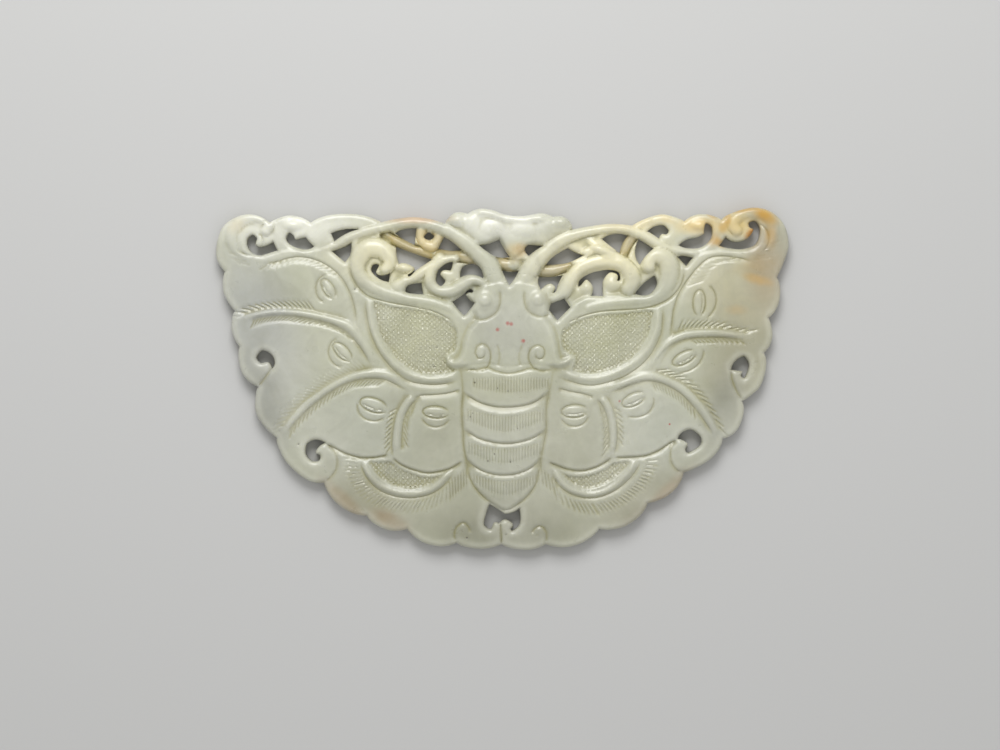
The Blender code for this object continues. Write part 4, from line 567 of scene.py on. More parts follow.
# The stone's gloss and depth, its noises and the ranges that they are mapped to
STONE_IOR = 1.6
SUBSURFACE_WEIGHT = 0.5
SUBSURFACE_RADIUS = (1.0, 1.0, 0.8)
SUBSURFACE_SCALE = 0.0004
CLOUD_NOISE = {"Scale": 55, "Detail": 6, "Roughness": 0.55}
CLOUD_RANGE = {"From Min": 0.4, "From Max": 0.72, "To Max": 0.4}
VEIL_NOISE = {"Scale": 130, "Detail": 5, "Roughness": 0.6, "Distortion": 1.2}
VEIL_RANGE = {"From Min": 0.45, "From Max": 0.8, "To Max": 0.4}
GRAIN_NOISE = {"Scale": 900, "Detail": 3}
GRAIN_RANGE = {"To Min": 0.94, "To Max": 1.05}
POLISH_NOISE = {"Scale": 240, "Detail": 4}
POLISH_RANGE = {"To Min": 0.22, "To Max": 0.38}
BUMP_STRENGTH = 0.12
BUMP_DISTANCE = 0.0002

# Strength of the painted light on the rims, which stands in for light glowing through the thin edges, of the
# painted shade in hollows and of the painted highlight on ridges. The rims' width is in plan units, and a
# hollow or ridge of HOLLOW_FULL metres has its painted shade or highlight in full.
RIM_GLOW = 0.12
RIM_GLOW_WIDTH = 9
HOLLOW_SHADE_STRENGTH = 0.65
HOLLOW_FULL = 0.00022
RIDGE_HIGHLIGHT = 0.2
SMOOTH_ROUNDS = 24
PATCH_REACH = 1.25

# Linear colours of the stone, and of its painted light and shade
STONE = (0.478, 0.485, 0.365)
PALE = (0.70, 0.70, 0.60)
# Colour of the painted shade in hollows
HOLLOW = (0.34, 0.32, 0.15)
RUSSET = (0.50, 0.21, 0.01)
OCHRE = (0.56, 0.32, 0.04)
HONEY = (0.76, 0.57, 0.22)
CREAM = (0.87, 0.81, 0.53)
TAN = (0.44, 0.34, 0.12)
UMBER = (0.20, 0.155, 0.08)
RUST = (0.30, 0.18, 0.07)
# Colour of the painted shade in the notches
NOTCH_SHADE = (0.13, 0.10, 0.05)
DUN = (0.28, 0.25, 0.14)
DEEP_SHADE = (0.20, 0.20, 0.13)
GREY = (0.25, 0.255, 0.225)
HAZE = (0.42, 0.43, 0.44)
OLIVE = (0.42, 0.42, 0.24)
MILK = (0.54, 0.56, 0.50)
HIGHLIGHT_WHITE = (0.82, 0.82, 0.72)
SHADE = (0.33, 0.325, 0.245)
BLUSH = (0.60, 0.42, 0.25)

# Broad clouds in the stone, and broad painted shade and highlights: centre, half axes, tilt in degrees, colour,
# strength.
CLOUDS_AND_PAINTED_LIGHT = {
    "left wing": ((258, 335), (55, 115), -15, HAZE, 0.6),
    "right wing": ((745, 350), (45, 90), 20, DUN, 0.55),
    "right shoulder": ((735, 285), (70, 45), 10, HONEY, 0.15),
    # Painted shade: darker towards the bottom, where less light falls
    "lower half": ((502, 480), (310, 105), 0, SHADE, 0.4),
    "lower left": ((350, 430), (80, 60), 0, MILK, 0.4),
    "lower right": ((655, 430), (60, 50), 0, MILK, 0.45),
    "left pane": ((420, 335), (45, 38), 20, OLIVE, 0.8),
    "right pane": ((610, 335), (45, 38), -20, OLIVE, 0.65),
    "abdomen": ((503, 450), (45, 50), 0, MILK, 0.3),
    # Painted shade on the lower lobes; the dun patches beside it are the stone's own tone
    "bottom left": ((370, 500), (70, 26), 35, SHADE, 0.5),
    "bottom left dun": ((372, 502), (50, 20), 35, DUN, 0.25),
    "bottom right": ((640, 500), (70, 26), -35, SHADE, 0.5),
    "bottom right dun": ((638, 502), (50, 20), -35, DUN, 0.3),
    # Painted shade along the bottom edge
    "bottom": ((502, 525), (90, 24), 0, SHADE, 0.65),
    "bottom middle": ((502, 536), (72, 20), 0, DEEP_SHADE, 0.6),
    "left lobes": ((266, 399), (26, 62), -15, GREY, 0.75),
    "right lobes": ((722, 415), (24, 60), 15, GREY, 0.5),
    "left openwork": ((400, 256), (80, 36), 5, CREAM, 0.75),
    "right openwork": ((600, 258), (85, 38), -5, CREAM, 0.95),
    # Painted highlight along the top edge, cream-toned on the right
    "left rim": ((290, 226), (90, 22), 0, HIGHLIGHT_WHITE, 0.95),
    "top rim": ((640, 225), (60, 16), 0, CREAM, 0.8),
    "head": ((507, 330), (45, 40), 0, HAZE, 0.3),
    # Painted highlight on the cloud at the top edge
    "cloud": ((500, 224), (66, 20), 0, HIGHLIGHT_WHITE, 0.95),
}

# Stains on the surface, and painted shade in two notches of the outline, given in the same way.
STAINS_AND_NOTCH_SHADE = {
    "top rim": ((630, 222), (40, 10), 0, HONEY, 0.3),
    "right end": ((766, 264), (24, 50), 0, RUST, 0.5),
    "right volute": ((738, 225), (26, 16), 0, HONEY, 0.65),
    "right corner": ((764, 216), (17, 8), 30, OCHRE, 0.9),
    "right corner top": ((744, 210), (16, 4), -8, OCHRE, 0.7),
    "right corner foot": ((770, 236), (7, 16), 0, OCHRE, 0.5),
    "right volute tip": ((750, 233), (9, 4), -45, RUSSET, 0.8),
    "right volute side": ((727, 220), (4, 9), 10, OCHRE, 0.6),
    "right volute foot": ((719, 243), (8, 5), 20, OCHRE, 0.7),
    "right edge": ((784, 255), (8, 40), 0, UMBER, 0.2),
    "right bud": ((699, 226), (26, 11), 0, HONEY, 0.9),
    "right bud rim": ((711, 216), (8, 3), 30, OCHRE, 0.5),
    "right bud foot": ((713, 240), (9, 7), -50, OCHRE, 0.6),
    "right notch stain": ((722, 228), (5, 7), 0, OCHRE, 0.5),
    "right strut": ((666, 219), (12, 5), 20, HONEY, 0.4),
    "right stain": ((757, 280), (17, 6), 15, OCHRE, 0.6),
    "right ochre": ((736, 310), (12, 6), 0, OCHRE, 0.3),
    "right mist": ((752, 266), (26, 10), -10, OCHRE, 0.12),
    "left corner": ((238, 226), (12, 9), -30, HONEY, 0.2),
    "left rim blush": ((415, 219), (40, 6), 0, BLUSH, 0.9),
    "cloud stem": ((513, 254), (12, 12), 0, HONEY, 0.5),
    "cloud foot": ((521, 250), (9, 8), 0, OCHRE, 0.5),
    "lower left edge": ((390, 520), (24, 10), 25, RUST, 0.5),
    "lower left lobes": ((344, 500), (36, 9), 43, RUST, 0.42),
    "lower right lobes": ((667, 492), (36, 9), -45, RUST, 0.5),
    # Painted shade in the notches of the outline
    "left notch": ((324, 482), (9, 7), 0, NOTCH_SHADE, 0.3),
    "right notch": ((683, 472), (9, 7), 0, NOTCH_SHADE, 0.3),
    "lower right edge": ((640, 512), (30, 8), -35, UMBER, 0.35),
}

# Tints of the stems at the back.
STEM_TINTS = {
    "back stem": (TAN, 0.9),
    "right back strut": (TAN, 0.8),
    "left back hook": (HONEY, 0.6),
}

# Specks in the stone: place, radius and tone.
SPECK_STRENGTH = 1.0
SPECK_REACH = 1.6
RED = (0.42, 0.0, 0.0)
SOOT = (0.06, 0.05, 0.03)
SPECKS = [
    (507.5, 323.5, 1.6, RED), (511.2, 324.4, 1.5, RED), (497.4, 330, 1.5, RED), (523.3, 341, 1.6, RED),
    (619, 401, 1.0, RED), (669, 424, 0.9, RED), (475, 382.5, 0.7, SOOT), (497.5, 388, 0.6, SOOT),
    (508, 391, 0.5, SOOT), (470.5, 416.5, 0.7, SOOT), (473, 413, 0.5, SOOT), (517.5, 428, 0.6, SOOT),
    (494.5, 453.5, 0.7, SOOT), (488, 460.5, 0.6, SOOT), (510.5, 461.5, 0.7, SOOT),
    (355.5, 289.5, 0.7, SOOT), (299, 444, 0.6, SOOT), (467, 537.5, 0.8, SOOT), (437.5, 347.5, 0.6, SOOT),
    (434, 367, 0.6, SOOT), (450, 326, 0.5, SOOT), (648.5, 327, 0.6, SOOT), (506, 534, 0.5, SOOT),
    (427, 341, 0.5, SOOT),
]


def bend(points, closed=False, count=10):
    """A smooth curve through the points. Open ends follow the parabola through the last three points."""
    ring = [np.array(p, dtype=float) for p in points]
    if closed:
        ring = [ring[-1]] + ring + ring[:2]
    elif len(ring) == 2:
        return np.array(ring)
    else:
        before = 3 * ring[0] - 3 * ring[1] + ring[2]
        after = 3 * ring[-1] - 3 * ring[-2] + ring[-3]
        ring = [before] + ring + [after]
    path = []
    for a, b, c, d in zip(ring, ring[1:], ring[2:], ring[3:]):
        for step in range(count):
            t = step / count
            bow = (c - a) * t + (2 * a - 5 * b + 4 * c - d) * t * t + (3 * b - 3 * c + d - a) * t ** 3
            path.append(b + bow / 2)
    if not closed:
        path.append(ring[-2])
    return np.array(path)


def closed_line(points, count=10):
    """A smooth outline through the points that ends where it starts."""
    outline = bend(points, closed=True, count=count)
    return np.vstack([outline, outline[:1]])


def piece_lengths(path):
    """Length of each straight piece of a path."""
    return np.hypot(*(path[1:] - path[:-1]).T)


def points_of(lines):
    """All points of some lines, in one list."""
    return [p for line in lines for p in line]


def thin(path, slack, longest):
    """Drop points that lie within slack of the chord, but keep no chord above longest."""
    kept = [0]

    def split(first, last):
        chord = path[last] - path[first]
        length = max(float(np.hypot(*chord)), 1e-9)
        inner = path[first + 1:last] - path[first]
        if len(inner) == 0:
            kept.append(last)
            return
        off = np.abs(chord[0] * inner[:, 1] - chord[1] * inner[:, 0]) / length
        worst = int(np.argmax(off))
        if off[worst] <= slack < length <= longest:
            kept.append(last)
            return
        middle = first + 1 + worst if off[worst] > slack and length > slack else (first + last) // 2
        split(first, middle)
        split(middle, last)

    split(0, len(path) - 1)
    return path[kept]


def loop_of(sides, slack, longest):
    """One closed outline from sides that start at corners. A side that ends at its start is a ring."""
    outline = []
    for index, side in enumerate(sides):
        corner = sides[(index + 1) % len(sides)][0]
        if len(side) > 1 and side[0] == side[-1]:
            full = closed_line(side[:-1])
        else:
            full = bend(side + [corner])
        outline.extend(thin(full, slack, longest)[:-1])
    return np.array(outline)


def inside(points, polygon):
    """Which points lie inside the closed polygon."""
    result = np.zeros(len(points), dtype=bool)
    x, y = points[:, 0], points[:, 1]
    for (x0, y0), (x1, y1) in zip(polygon, np.roll(polygon, -1, axis=0)):
        if y0 == y1:
            continue
        crosses = (y0 > y) != (y1 > y)
        result ^= crosses & (x < (x1 - x0) * (y - y0) / (y1 - y0) + x0)
    return result


def nearest(points, path):
    """For each point: distance to the path, side (plus is right of it) and share of its length."""
    best = np.full(len(points), 1e9)
    side = np.ones(len(points))
    share = np.zeros(len(points))
    lengths = piece_lengths(path)
    starts = np.concatenate([[0], np.cumsum(lengths)])
    for index, (a, b) in enumerate(zip(path, path[1:])):
        run = b - a
        t = np.clip(((points - a) @ run) / max(float(run @ run), 1e-12), 0, 1)
        gap = points - a - t[:, None] * run
        distance = np.hypot(gap[:, 0], gap[:, 1])
        closer = distance < best
        best[closer] = distance[closer]
        turn = run[0] * gap[:, 1] - run[1] * gap[:, 0]
        side[closer] = np.where(turn[closer] >= 0, 1, -1)
        share[closer] = (starts[index] + t[closer] * lengths[index]) / starts[-1]
    return best, side, share


def near(points, path, reach):
    """Index of the points in the path's box, widened by reach."""
    low = path.min(axis=0) - reach
    high = path.max(axis=0) + reach
    return np.nonzero(((points > low) & (points < high)).all(axis=1))[0]


def ease(t):
    """Zero to one with soft ends."""
    t = np.clip(t, 0, 1)
    return t * t * (3 - 2 * t)


def roll(t):
    """Quarter round: zero at the edge, one inside."""
    t = np.clip(t, 0, 1)
    return np.sqrt(1 - (1 - t) ** 2)


def dome(t):
    """Zero at the edge and one inside, without the upright edge of a quarter round."""
    return np.sin(np.clip(t, 0, 1) * math.pi / 2)


def tapered(share):
    """Fades a line in and out along its length."""
    return ease(np.minimum(share, 1 - share) / FADE_SHARE + FADE_START)


def ellipse(centre, axes, tilt, start=0, stop=360, count=28):
    """Points on an ellipse, angles in degrees, on the plan with y down."""
    turn = math.radians(tilt)
    angles = np.radians(np.linspace(start, stop, count + 1))
    x = axes[0] * np.cos(angles)
    y = axes[1] * np.sin(angles)
    return np.stack([centre[0] + x * math.cos(turn) - y * math.sin(turn),
                     centre[1] + x * math.sin(turn) + y * math.cos(turn)], axis=1)


def spiral(centre, radii, start, stop, count=24):
    """Points on a spiral, angles in degrees."""
    angles = np.radians(np.linspace(start, stop, count + 1))
    radius = np.linspace(radii[0], radii[1], count + 1)
    return np.stack([centre[0] + radius * np.cos(angles), centre[1] + radius * np.sin(angles)], axis=1)


def all_cuts():
    """Every cut line as a path with its two slopes and its depth."""
    cuts = [(bend(line), left, right, depth) for line, left, right, depth in CUTS.values()]
    for centre, axes, tilt, hood in EYE_SPOTS.values():
        turn = math.radians(tilt)
        middle = hood[len(hood) // 2]
        facing = (middle[1] - centre[1]) * math.cos(turn) - (middle[0] - centre[0]) * math.sin(turn) > 0
        first, last = (LID_END, 180 - LID_END) if facing else (180 + LID_END, 360 - LID_END)
        lid = (axes[0] * LID_SHARE[0], axes[1] * LID_SHARE[1])
        cuts.append((ellipse(centre, axes, tilt), LENS_WIDTH, LENS_WIDTH, EYE_DEPTH))
        cuts.append((ellipse(centre, lid, tilt, first, last), LID_WIDTH, LID_WIDTH, LID_DEPTH))
        cuts.append((bend(hood), HOOD_WIDTH, HOOD_WIDTH, EYE_DEPTH))
    cuts.append((bend(ABDOMEN[1:-1]), GROOVE_WIDTH, GROOVE_WIDTH, ABDOMEN_GROOVE))
    for centre, first, last, start, stop, depth in SCROLLS.values():
        cuts.append((spiral(centre, (first, last), start, stop), SCROLL_WIDTH, SCROLL_WIDTH, depth))
    return cuts


def sink(points, z, path, left, right, depth):
    """Cut a line with a slope on each side of it into the heights z."""
    spot = near(points, path, max(left, right))
    if len(spot) == 0:
        return
    distance, side, share = nearest(points[spot], path)
    t = np.clip(distance / np.where(side > 0, right, left), 0, 1)
    z[spot] -= depth * (1 - t) ** 2 * tapered(share)


def lift_bead(points, z, path, half_width, rise):
    """Raise a rounded rim along a path."""
    spot = near(points, path, half_width)
    distance, _, share = nearest(points[spot], path)
    t = np.clip(distance / half_width, 0, 1)
    z[spot] += rise * (1 - t * t) ** 1.5 * tapered(share)


def in_axes(points, centre, axes, tilt):
    """Plan points measured in the half axes of an ellipse."""
    turn = math.radians(tilt)
    x = points[:, 0] - centre[0]
    y = points[:, 1] - centre[1]
    u = (x * math.cos(turn) + y * math.sin(turn)) / axes[0]
    v = (y * math.cos(turn) - x * math.sin(turn)) / axes[1]
    return u, v


def lift_knob(points, z, centre, axes, tilt, rise, softness):
    """Raise an elliptic dome. A softness of a half is a ball, and more of it flattens the foot."""
    u, v = in_axes(points, centre, axes, tilt)
    z += rise * np.clip(1 - u * u - v * v, 0, 1) ** softness


def region(points, polygon, soft):
    """Zero outside the polygon, and inside it the distance from its border as a share of soft."""
    outline = closed_line(polygon, REGION_COUNT)
    weight = np.zeros(len(points))
    spot = near(points, outline, 1)
    depth, _, _ = nearest(points[spot], outline)
    weight[spot] = np.where(inside(points[spot], outline), depth, 0) / soft
    return weight


def beside_stem(points, stem):
    """The points near a stem: index, distance from its middle, half-width there and share of its length."""
    route = bend([p[:2] for p in stem], count=STEM_COUNT)
    widths = np.array([p[2] for p in stem], dtype=float)
    spot = near(points, route, widths.max() + STEM_FOOT)
    distance, _, share = nearest(points[spot], route)
    half = np.interp(share * (len(widths) - 1), range(len(widths)), widths)
    return spot, distance, half, share


def lay_stem(points, z, stem, crest, over):
    """Lay a round stem through the openwork. One that runs behind the rest replaces what is there."""
    spot, distance, half, share = beside_stem(points, stem)
    t = distance / half
    top = crest[0] + (crest[1] - crest[0]) * share
    ridge = top - STEM_ROUND * half * UNIT * (1 - np.sqrt(np.clip(1 - t * t, 0, 1)))
    if over:
        ridge = np.maximum(z[spot], ridge)
    z[spot] += (ridge - z[spot]) * ease((half + STEM_FOOT - distance) / STEM_FOOT)


def front_height(points, to_rim, to_edge):
    """Height of the carved face, given the distances to the nearest edge and to the outer edge."""
    z = RIM_TOP + (BODY_TOP - RIM_TOP) * ease(to_edge / SWELL_WIDTH)
    z += (BAY_TOP - z) * ease(region(points, BAY, BAY_SLOPE))
    for name, (stem, crest) in STEMS.items():
        if "back" in name:
            lay_stem(points, z, stem, crest, False)
    z += CLOUD_RISE * roll(region(points, CLOUD, CLOUD_ROUND))
    abdomen = ABDOMEN_RISE * dome(region(points, ABDOMEN, ABDOMEN_ROUND))
    z += np.maximum(abdomen, HEAD_RISE * ease(region(points, HEAD, HEAD_SLOPE)))
    for name, (stem, crest) in STEMS.items():
        if "back" not in name:
            lay_stem(points, z, stem, crest, True)
    for polygon in PANES.values():
        z -= PANE_DEPTH * ease(region(points, polygon, PANE_SLOPE))
    for centre, axes, tilt, rise, softness in KNOBS.values():
        lift_knob(points, z, centre, axes, tilt, rise, softness)
    for path, half_width, rise in BEADS.values():
        lift_bead(points, z, bend(path), half_width, rise)
    for path, left, right, depth in all_cuts():
        sink(points, z, path, left, right, depth)
    fall = EDGE_FALL * (1 - roll(to_rim / EDGE_ROUND))
    return np.maximum(z - fall, LEAST_TOP)


def back_height(to_rim):
    """Height of the back: flat, with a softened rim."""
    return BACK_FALL * (1 - roll(to_rim / BACK_ROUND))


def tree_of(points):
    """A search tree over plan points."""
    tree = kdtree.KDTree(len(points))
    for index, point in enumerate(points):
        tree.insert((point[0], point[1], 0), index)
    tree.balance()
    return tree


def gaps(points, tree):
    """Each point's distance to the nearest point in the tree."""
    return np.array([tree.find((p[0], p[1], 0))[2] for p in points])


def distance_field(loops):
    """A function that gives each plan point's distance to the nearest of the loops."""
    marks = []
    for loop in loops:
        for a, b in zip(loop, np.roll(loop, -1, axis=0)):
            count = max(1, int(math.ceil(np.hypot(*(b - a)) / MARK_STEP)))
            marks.extend(a + (b - a) * (step / count) for step in range(count))
    tree = tree_of(marks)
    return lambda points: gaps(points, tree)


def in_material(points, loops):
    """Inside the outer edge and in none of the openings."""
    result = inside(points, loops[0])
    for loop in loops[1:]:
        result &= ~inside(points, loop)
    return result


def sheet(loops, lines, loose):
    """Triangles over the plan, split along the loops and the lines. Returns points and triangles."""
    points = [Vector(p) for loop in loops for p in loop]
    edges = []
    start = 0
    for loop in loops:
        size = len(loop)
        edges.extend((start + i, start + (i + 1) % size) for i in range(size))
        start += size
    for line in lines:
        edges.extend((len(points) + i, len(points) + i + 1) for i in range(len(line) - 1))
        points.extend(Vector(p) for p in line)
    points.extend(Vector(p) for p in loose)
    corners, _, faces, _, _, _ = delaunay_2d_cdt(points, edges, [], 0, MERGE)
    corners = np.array([tuple(c) for c in corners])
    faces = np.array([f for f in faces if len(f) == 3])
    centres = corners[faces].mean(axis=1)
    return corners, faces[in_material(centres, loops)]


def open_edges(faces):
    """Directed edges that only one triangle uses: the rims of the sheet."""
    used = {(int(f[i]), int(f[(i + 1) % 3])) for f in faces for i in range(3)}
    return [(a, b) for a, b in used if (b, a) not in used]


def to_world(points, z):
    """Plan points and heights to metres, x right, y up the plan, z up."""
    x = (points[:, 0] - PLAN_CENTRE[0]) * UNIT
    y = (PLAN_CENTRE[1] - points[:, 1]) * UNIT
    return np.stack([x, y, z], axis=1)


def along(path, share):
    """Point and unit direction at a share of the path's length."""
    steps = piece_lengths(path)
    starts = np.concatenate([[0], np.cumsum(steps)])
    here = share * starts[-1]
    index = min(int(np.searchsorted(starts, here, side="right")) - 1, len(steps) - 1)
    run = (path[index + 1] - path[index]) / steps[index]
    return path[index] + run * (here - starts[index]), run


def feather_rows():
    """The short strokes beside the veins and on the rings, with the crests between them, and their depths."""
    guides = {name: line for name, (line, _, _, _) in CUTS.items()}
    guides.update(FEATHER_GUIDES)
    strokes = []
    crests = []
    for name, row_data in FEATHERS.items():
        guide, first, last, side, gap, length, lean_first, lean_last, pitch = row_data
        depth = STROKE_DEPTH * FAINT_FEATHERS.get(name, 1)
        path = bend(guides[guide])
        total = piece_lengths(path).sum()
        share = first
        row, other = strokes, crests
        while share < last:
            part = (share - first) / (last - first)
            spot, run = along(path, share)
            outward = side * np.array([-run[1], run[0]])
            lean = math.radians(lean_first + (lean_last - lean_first) * part)
            heading = math.cos(lean) * outward + math.sin(lean) * run
            start = spot + outward * gap
            row.append((np.array([start, start + heading * length]), depth))
            row, other = other, row
            share += pitch / 2 / max(math.cos(lean), STEEPEST) / total
    for x_first, x_last, y_ends, y_middle, end_length, middle_length, pitch in RING_STROKES.values():
        count = int(round((x_last - x_first) / pitch))
        for step in range(2 * count + 1):
            part = step / (2 * count)
            bow = math.sin(math.pi * part)
            x = x_first + (x_last - x_first) * part
            y = y_ends + (y_middle - y_ends) * bow
            length = end_length + (middle_length - end_length) * bow
            row = crests if step % 2 else strokes
            row.append((np.array([(x, y), (x, y + length)]), RING_STROKE_DEPTH))
    return strokes, crests


def split_evenly(line, step):
    """A straight line as points about a step apart."""
    count = max(1, int(round(float(np.hypot(*(line[1] - line[0]))) / step)))
    parts = np.linspace(0, 1, count + 1)[:, None]
    return line[0] + (line[1] - line[0]) * parts


def hex_grid(step, loops):
    """Points of a triangular lattice over the material, which is less than two thirds as high as it is wide."""
    rows = []
    left = PLAN_CENTRE[0] - PLAN_WIDTH / 2
    right = PLAN_CENTRE[0] + PLAN_WIDTH / 2
    y = PLAN_CENTRE[1] - PLAN_WIDTH / 3
    odd = False
    while y < PLAN_CENTRE[1] + PLAN_WIDTH / 3:
        xs = np.arange(left + odd * step / 2, right, step)
        rows.append(np.stack([xs, np.full(len(xs), y)], axis=1))
        y += step * math.sqrt(3) / 2
        odd = not odd
    grid = np.vstack(rows)
    return grid[in_material(grid, loops)]


def net_axes(points):
    """Coordinates along the two slanting directions of the netting, in meshes."""
    u = (points[:, 0] + points[:, 1]) / math.sqrt(2) / NET_PITCH[0]
    v = (points[:, 0] - points[:, 1]) / math.sqrt(2) / NET_PITCH[1]
    return u, v


def net_grid(outline):
    """Lattice of the netting's diamonds and grooves inside an outline."""
    low = outline.min(axis=0)
    high = outline.max(axis=0)
    corners = np.array([low, high, (low[0], high[1]), (high[0], low[1])])
    u, v = net_axes(corners)
    us = np.arange(math.floor(u.min()), math.ceil(u.max()), 0.5)
    vs = np.arange(math.floor(v.min()), math.ceil(v.max()), 0.5)
    mesh_u, mesh_v = np.meshgrid(us * NET_PITCH[0], vs * NET_PITCH[1])
    x = (mesh_u + mesh_v).ravel() / math.sqrt(2)
    y = (mesh_u - mesh_v).ravel() / math.sqrt(2)
    points = np.stack([x, y], axis=1)
    return points[inside(points, outline)]


def netting(points):
    """Height of the diamonds: one at a centre, zero in the grooves."""
    u, v = net_axes(points)
    return np.minimum(2 * np.abs(u - np.floor(u) - 0.5), 2 * np.abs(v - np.floor(v) - 0.5))


def clear_of(points, tree, gap):
    """The points that keep a gap from everything in the tree."""
    return points[gaps(points, tree) >= gap]


def inset(loop, step, to_rim):
    """Points a step inside the material from a loop, where there is room."""
    run = np.roll(loop, -1, axis=0) - np.roll(loop, 1, axis=0)
    normal = np.stack([run[:, 1], -run[:, 0]], axis=1) / np.hypot(run[:, 0], run[:, 1])[:, None]
    rows = np.vstack([loop + normal * step, loop - normal * step])
    return rows[to_rim(rows) > step * ROOM_SHARE]


def rim_row(loops, step, to_rim):
    """Points a step inside every rim."""
    row = np.vstack([inset(loop, step, to_rim) for loop in loops])
    return row[in_material(row, loops)]


def free_runs(line, is_free):
    """The stretches of a line that are free, each two points or longer."""
    runs = []
    run = []
    for point, free in zip(line, is_free):
        if free:
            run.append(point)
            continue
        if len(run) > 1:
            runs.append(np.array(run))
        run = []
    if len(run) > 1:
        runs.append(np.array(run))
    return runs


def stem_lines(stem):
    """The middle of a stem and lines beside each of its edges."""
    route = bend([p[:2] for p in stem], count=STEM_LINE_COUNT)
    run = np.gradient(route, axis=0)
    sideways = np.stack([-run[:, 1], run[:, 0]], axis=1) / np.hypot(run[:, 0], run[:, 1])[:, None]
    places = np.linspace(0, len(stem) - 1, len(route))
    half = np.interp(places, range(len(stem)), [p[2] for p in stem])[:, None]
    lines = [route]
    for gap in STEM_EDGES:
        lines.append(route + sideways * (half + gap))
        lines.append(route - sideways * (half + gap))
    return lines


def main_lines(to_rim):
    """Cut lines, beads, stems and the outlines of the raised parts, cut short of the rims."""
    lines = [path for path, _, _, _ in all_cuts()]
    lines += [bend(line) for line, _, _ in BEADS.values()]
    lines += [closed_line(polygon, REGION_LINE_COUNT) for polygon in (HEAD, BAY, CLOUD, *PANES.values())]
    for stem, _ in STEMS.values():
        lines += stem_lines(stem)
    kept = []
    taken = set()
    for line in lines:
        even = thin(line, LINE_SLACK, LONGEST_LINE)
        free = to_rim(even) > LINE_CLEAR
        cells = [(int(x // LINE_CELL), int(y // LINE_CELL)) for x, y in even]
        for index, (column, row) in enumerate(cells):
            if any((column + i, row + j) in taken for i in (-1, 0, 1) for j in (-1, 0, 1)):
                free[index] = False
        kept.extend(free_runs(even, free))
        taken.update(cells)
    return kept


def fine_relief(points, z, strokes):
    """Strokes, netting and dents on the heights z."""
    for stroke, depth in strokes:
        spot = near(points, stroke, STROKE_WIDTH)
        if len(spot) == 0:
            continue
        distance, _, share = nearest(points[spot], stroke)
        ends = np.minimum(share / STROKE_FADE_IN, (1 - share) / STROKE_FADE_OUT)
        z[spot] -= depth * np.clip(1 - distance / STROKE_WIDTH, 0, 1) * ease(ends + STROKE_FADE_START)
    for polygon in PANES.values():
        z += NET_RISE * netting(points) * ease(region(points, polygon, PANE_SLOPE))
    for centre, axes, tilt, _ in EYE_SPOTS.values():
        lift_knob(points, z, centre, axes, tilt, LENS_RISE, softness=1)
    for centre, radius, depth in PITS.values():
        gap = np.hypot(points[:, 0] - centre[0], points[:, 1] - centre[1]) / radius
        z -= depth * (1 - ease(gap))
    return np.maximum(z, LEAST_TOP)


def speck_dots():
    """Points in and around the specks, so that the mesh can carry their colour."""
    rings = []
    for x, y, size, _ in SPECKS:
        for reach in SPECK_RINGS:
            radii = (size * reach, size * reach)
            rings.append(ellipse((x, y), radii, 0, 0, 360 - 360 / SPECK_POINTS, SPECK_POINTS - 1))
    return np.vstack(rings)


def free_strokes(strokes, main_tree, loops):
    """The strokes as lines that keep clear of the main lines and lie in the material."""
    lines = [split_evenly(line, LONGEST_LINE) for line, _ in strokes]
    even = np.vstack(lines)
    free = (gaps(even, main_tree) > LINE_CLEAR) & in_material(even, loops)
    kept = []
    start = 0
    for line in lines:
        kept.extend(free_runs(line, free[start:start + len(line)]))
        start += len(line)
    return kept


def carved_face():
    """The rims, the carved face's points, triangles and heights, and the distance to the nearest rim."""
    loops = [loop_of(EDGE_LOBES, EDGE_SLACK, LONGEST_EDGE)]
    loops += [loop_of(sides, EDGE_SLACK, LONGEST_EDGE) for sides in OPENINGS.values()]
    to_rim = distance_field(loops)
    to_edge = distance_field(loops[:1])
    strokes, crests = feather_rows()
    lines = main_lines(to_rim)
    main_tree = tree_of(points_of(lines) + points_of(loops))
    lines += free_strokes(strokes + crests, main_tree, loops)
    dots = list(clear_of(speck_dots(), main_tree, LINE_CLEAR / 2))
    taken = points_of(lines) + points_of(loops) + dots
    rows = []
    for step in RIM_ROWS:
        row = clear_of(rim_row(loops, step, to_rim), tree_of(taken), RIM_ROWS[0] * ROW_SHARE)
        rows.extend(row)
        taken.extend(row)
    nets = np.vstack([net_grid(closed_line(polygon, REGION_COUNT)) for polygon in PANES.values()])
    nets = clear_of(nets, tree_of(taken), NET_CLEAR)
    taken.extend(nets)
    fill = clear_of(hex_grid(GRID_STEP, loops), tree_of(taken), GRID_STEP * GRID_SHARE)
    corners, faces = sheet(loops, lines, rows + dots + list(nets) + list(fill))
    z = front_height(corners, to_rim(corners), to_edge(corners))
    return loops, corners, faces, fine_relief(corners, z, strokes), to_rim


def rim_loops(corners, rims):
    """The rim edges chained into closed loops, as lists of corner numbers."""
    follow = dict(rims)
    loops = []
    left_over = set(follow)
    while left_over:
        here = min(left_over)
        loop = []
        while here in left_over:
            left_over.remove(here)
            loop.append(here)
            here = follow[here]
        loops.append(loop)
    loops.sort(key=lambda loop: -np.ptp(corners[loop][:, 0]))
    return loops


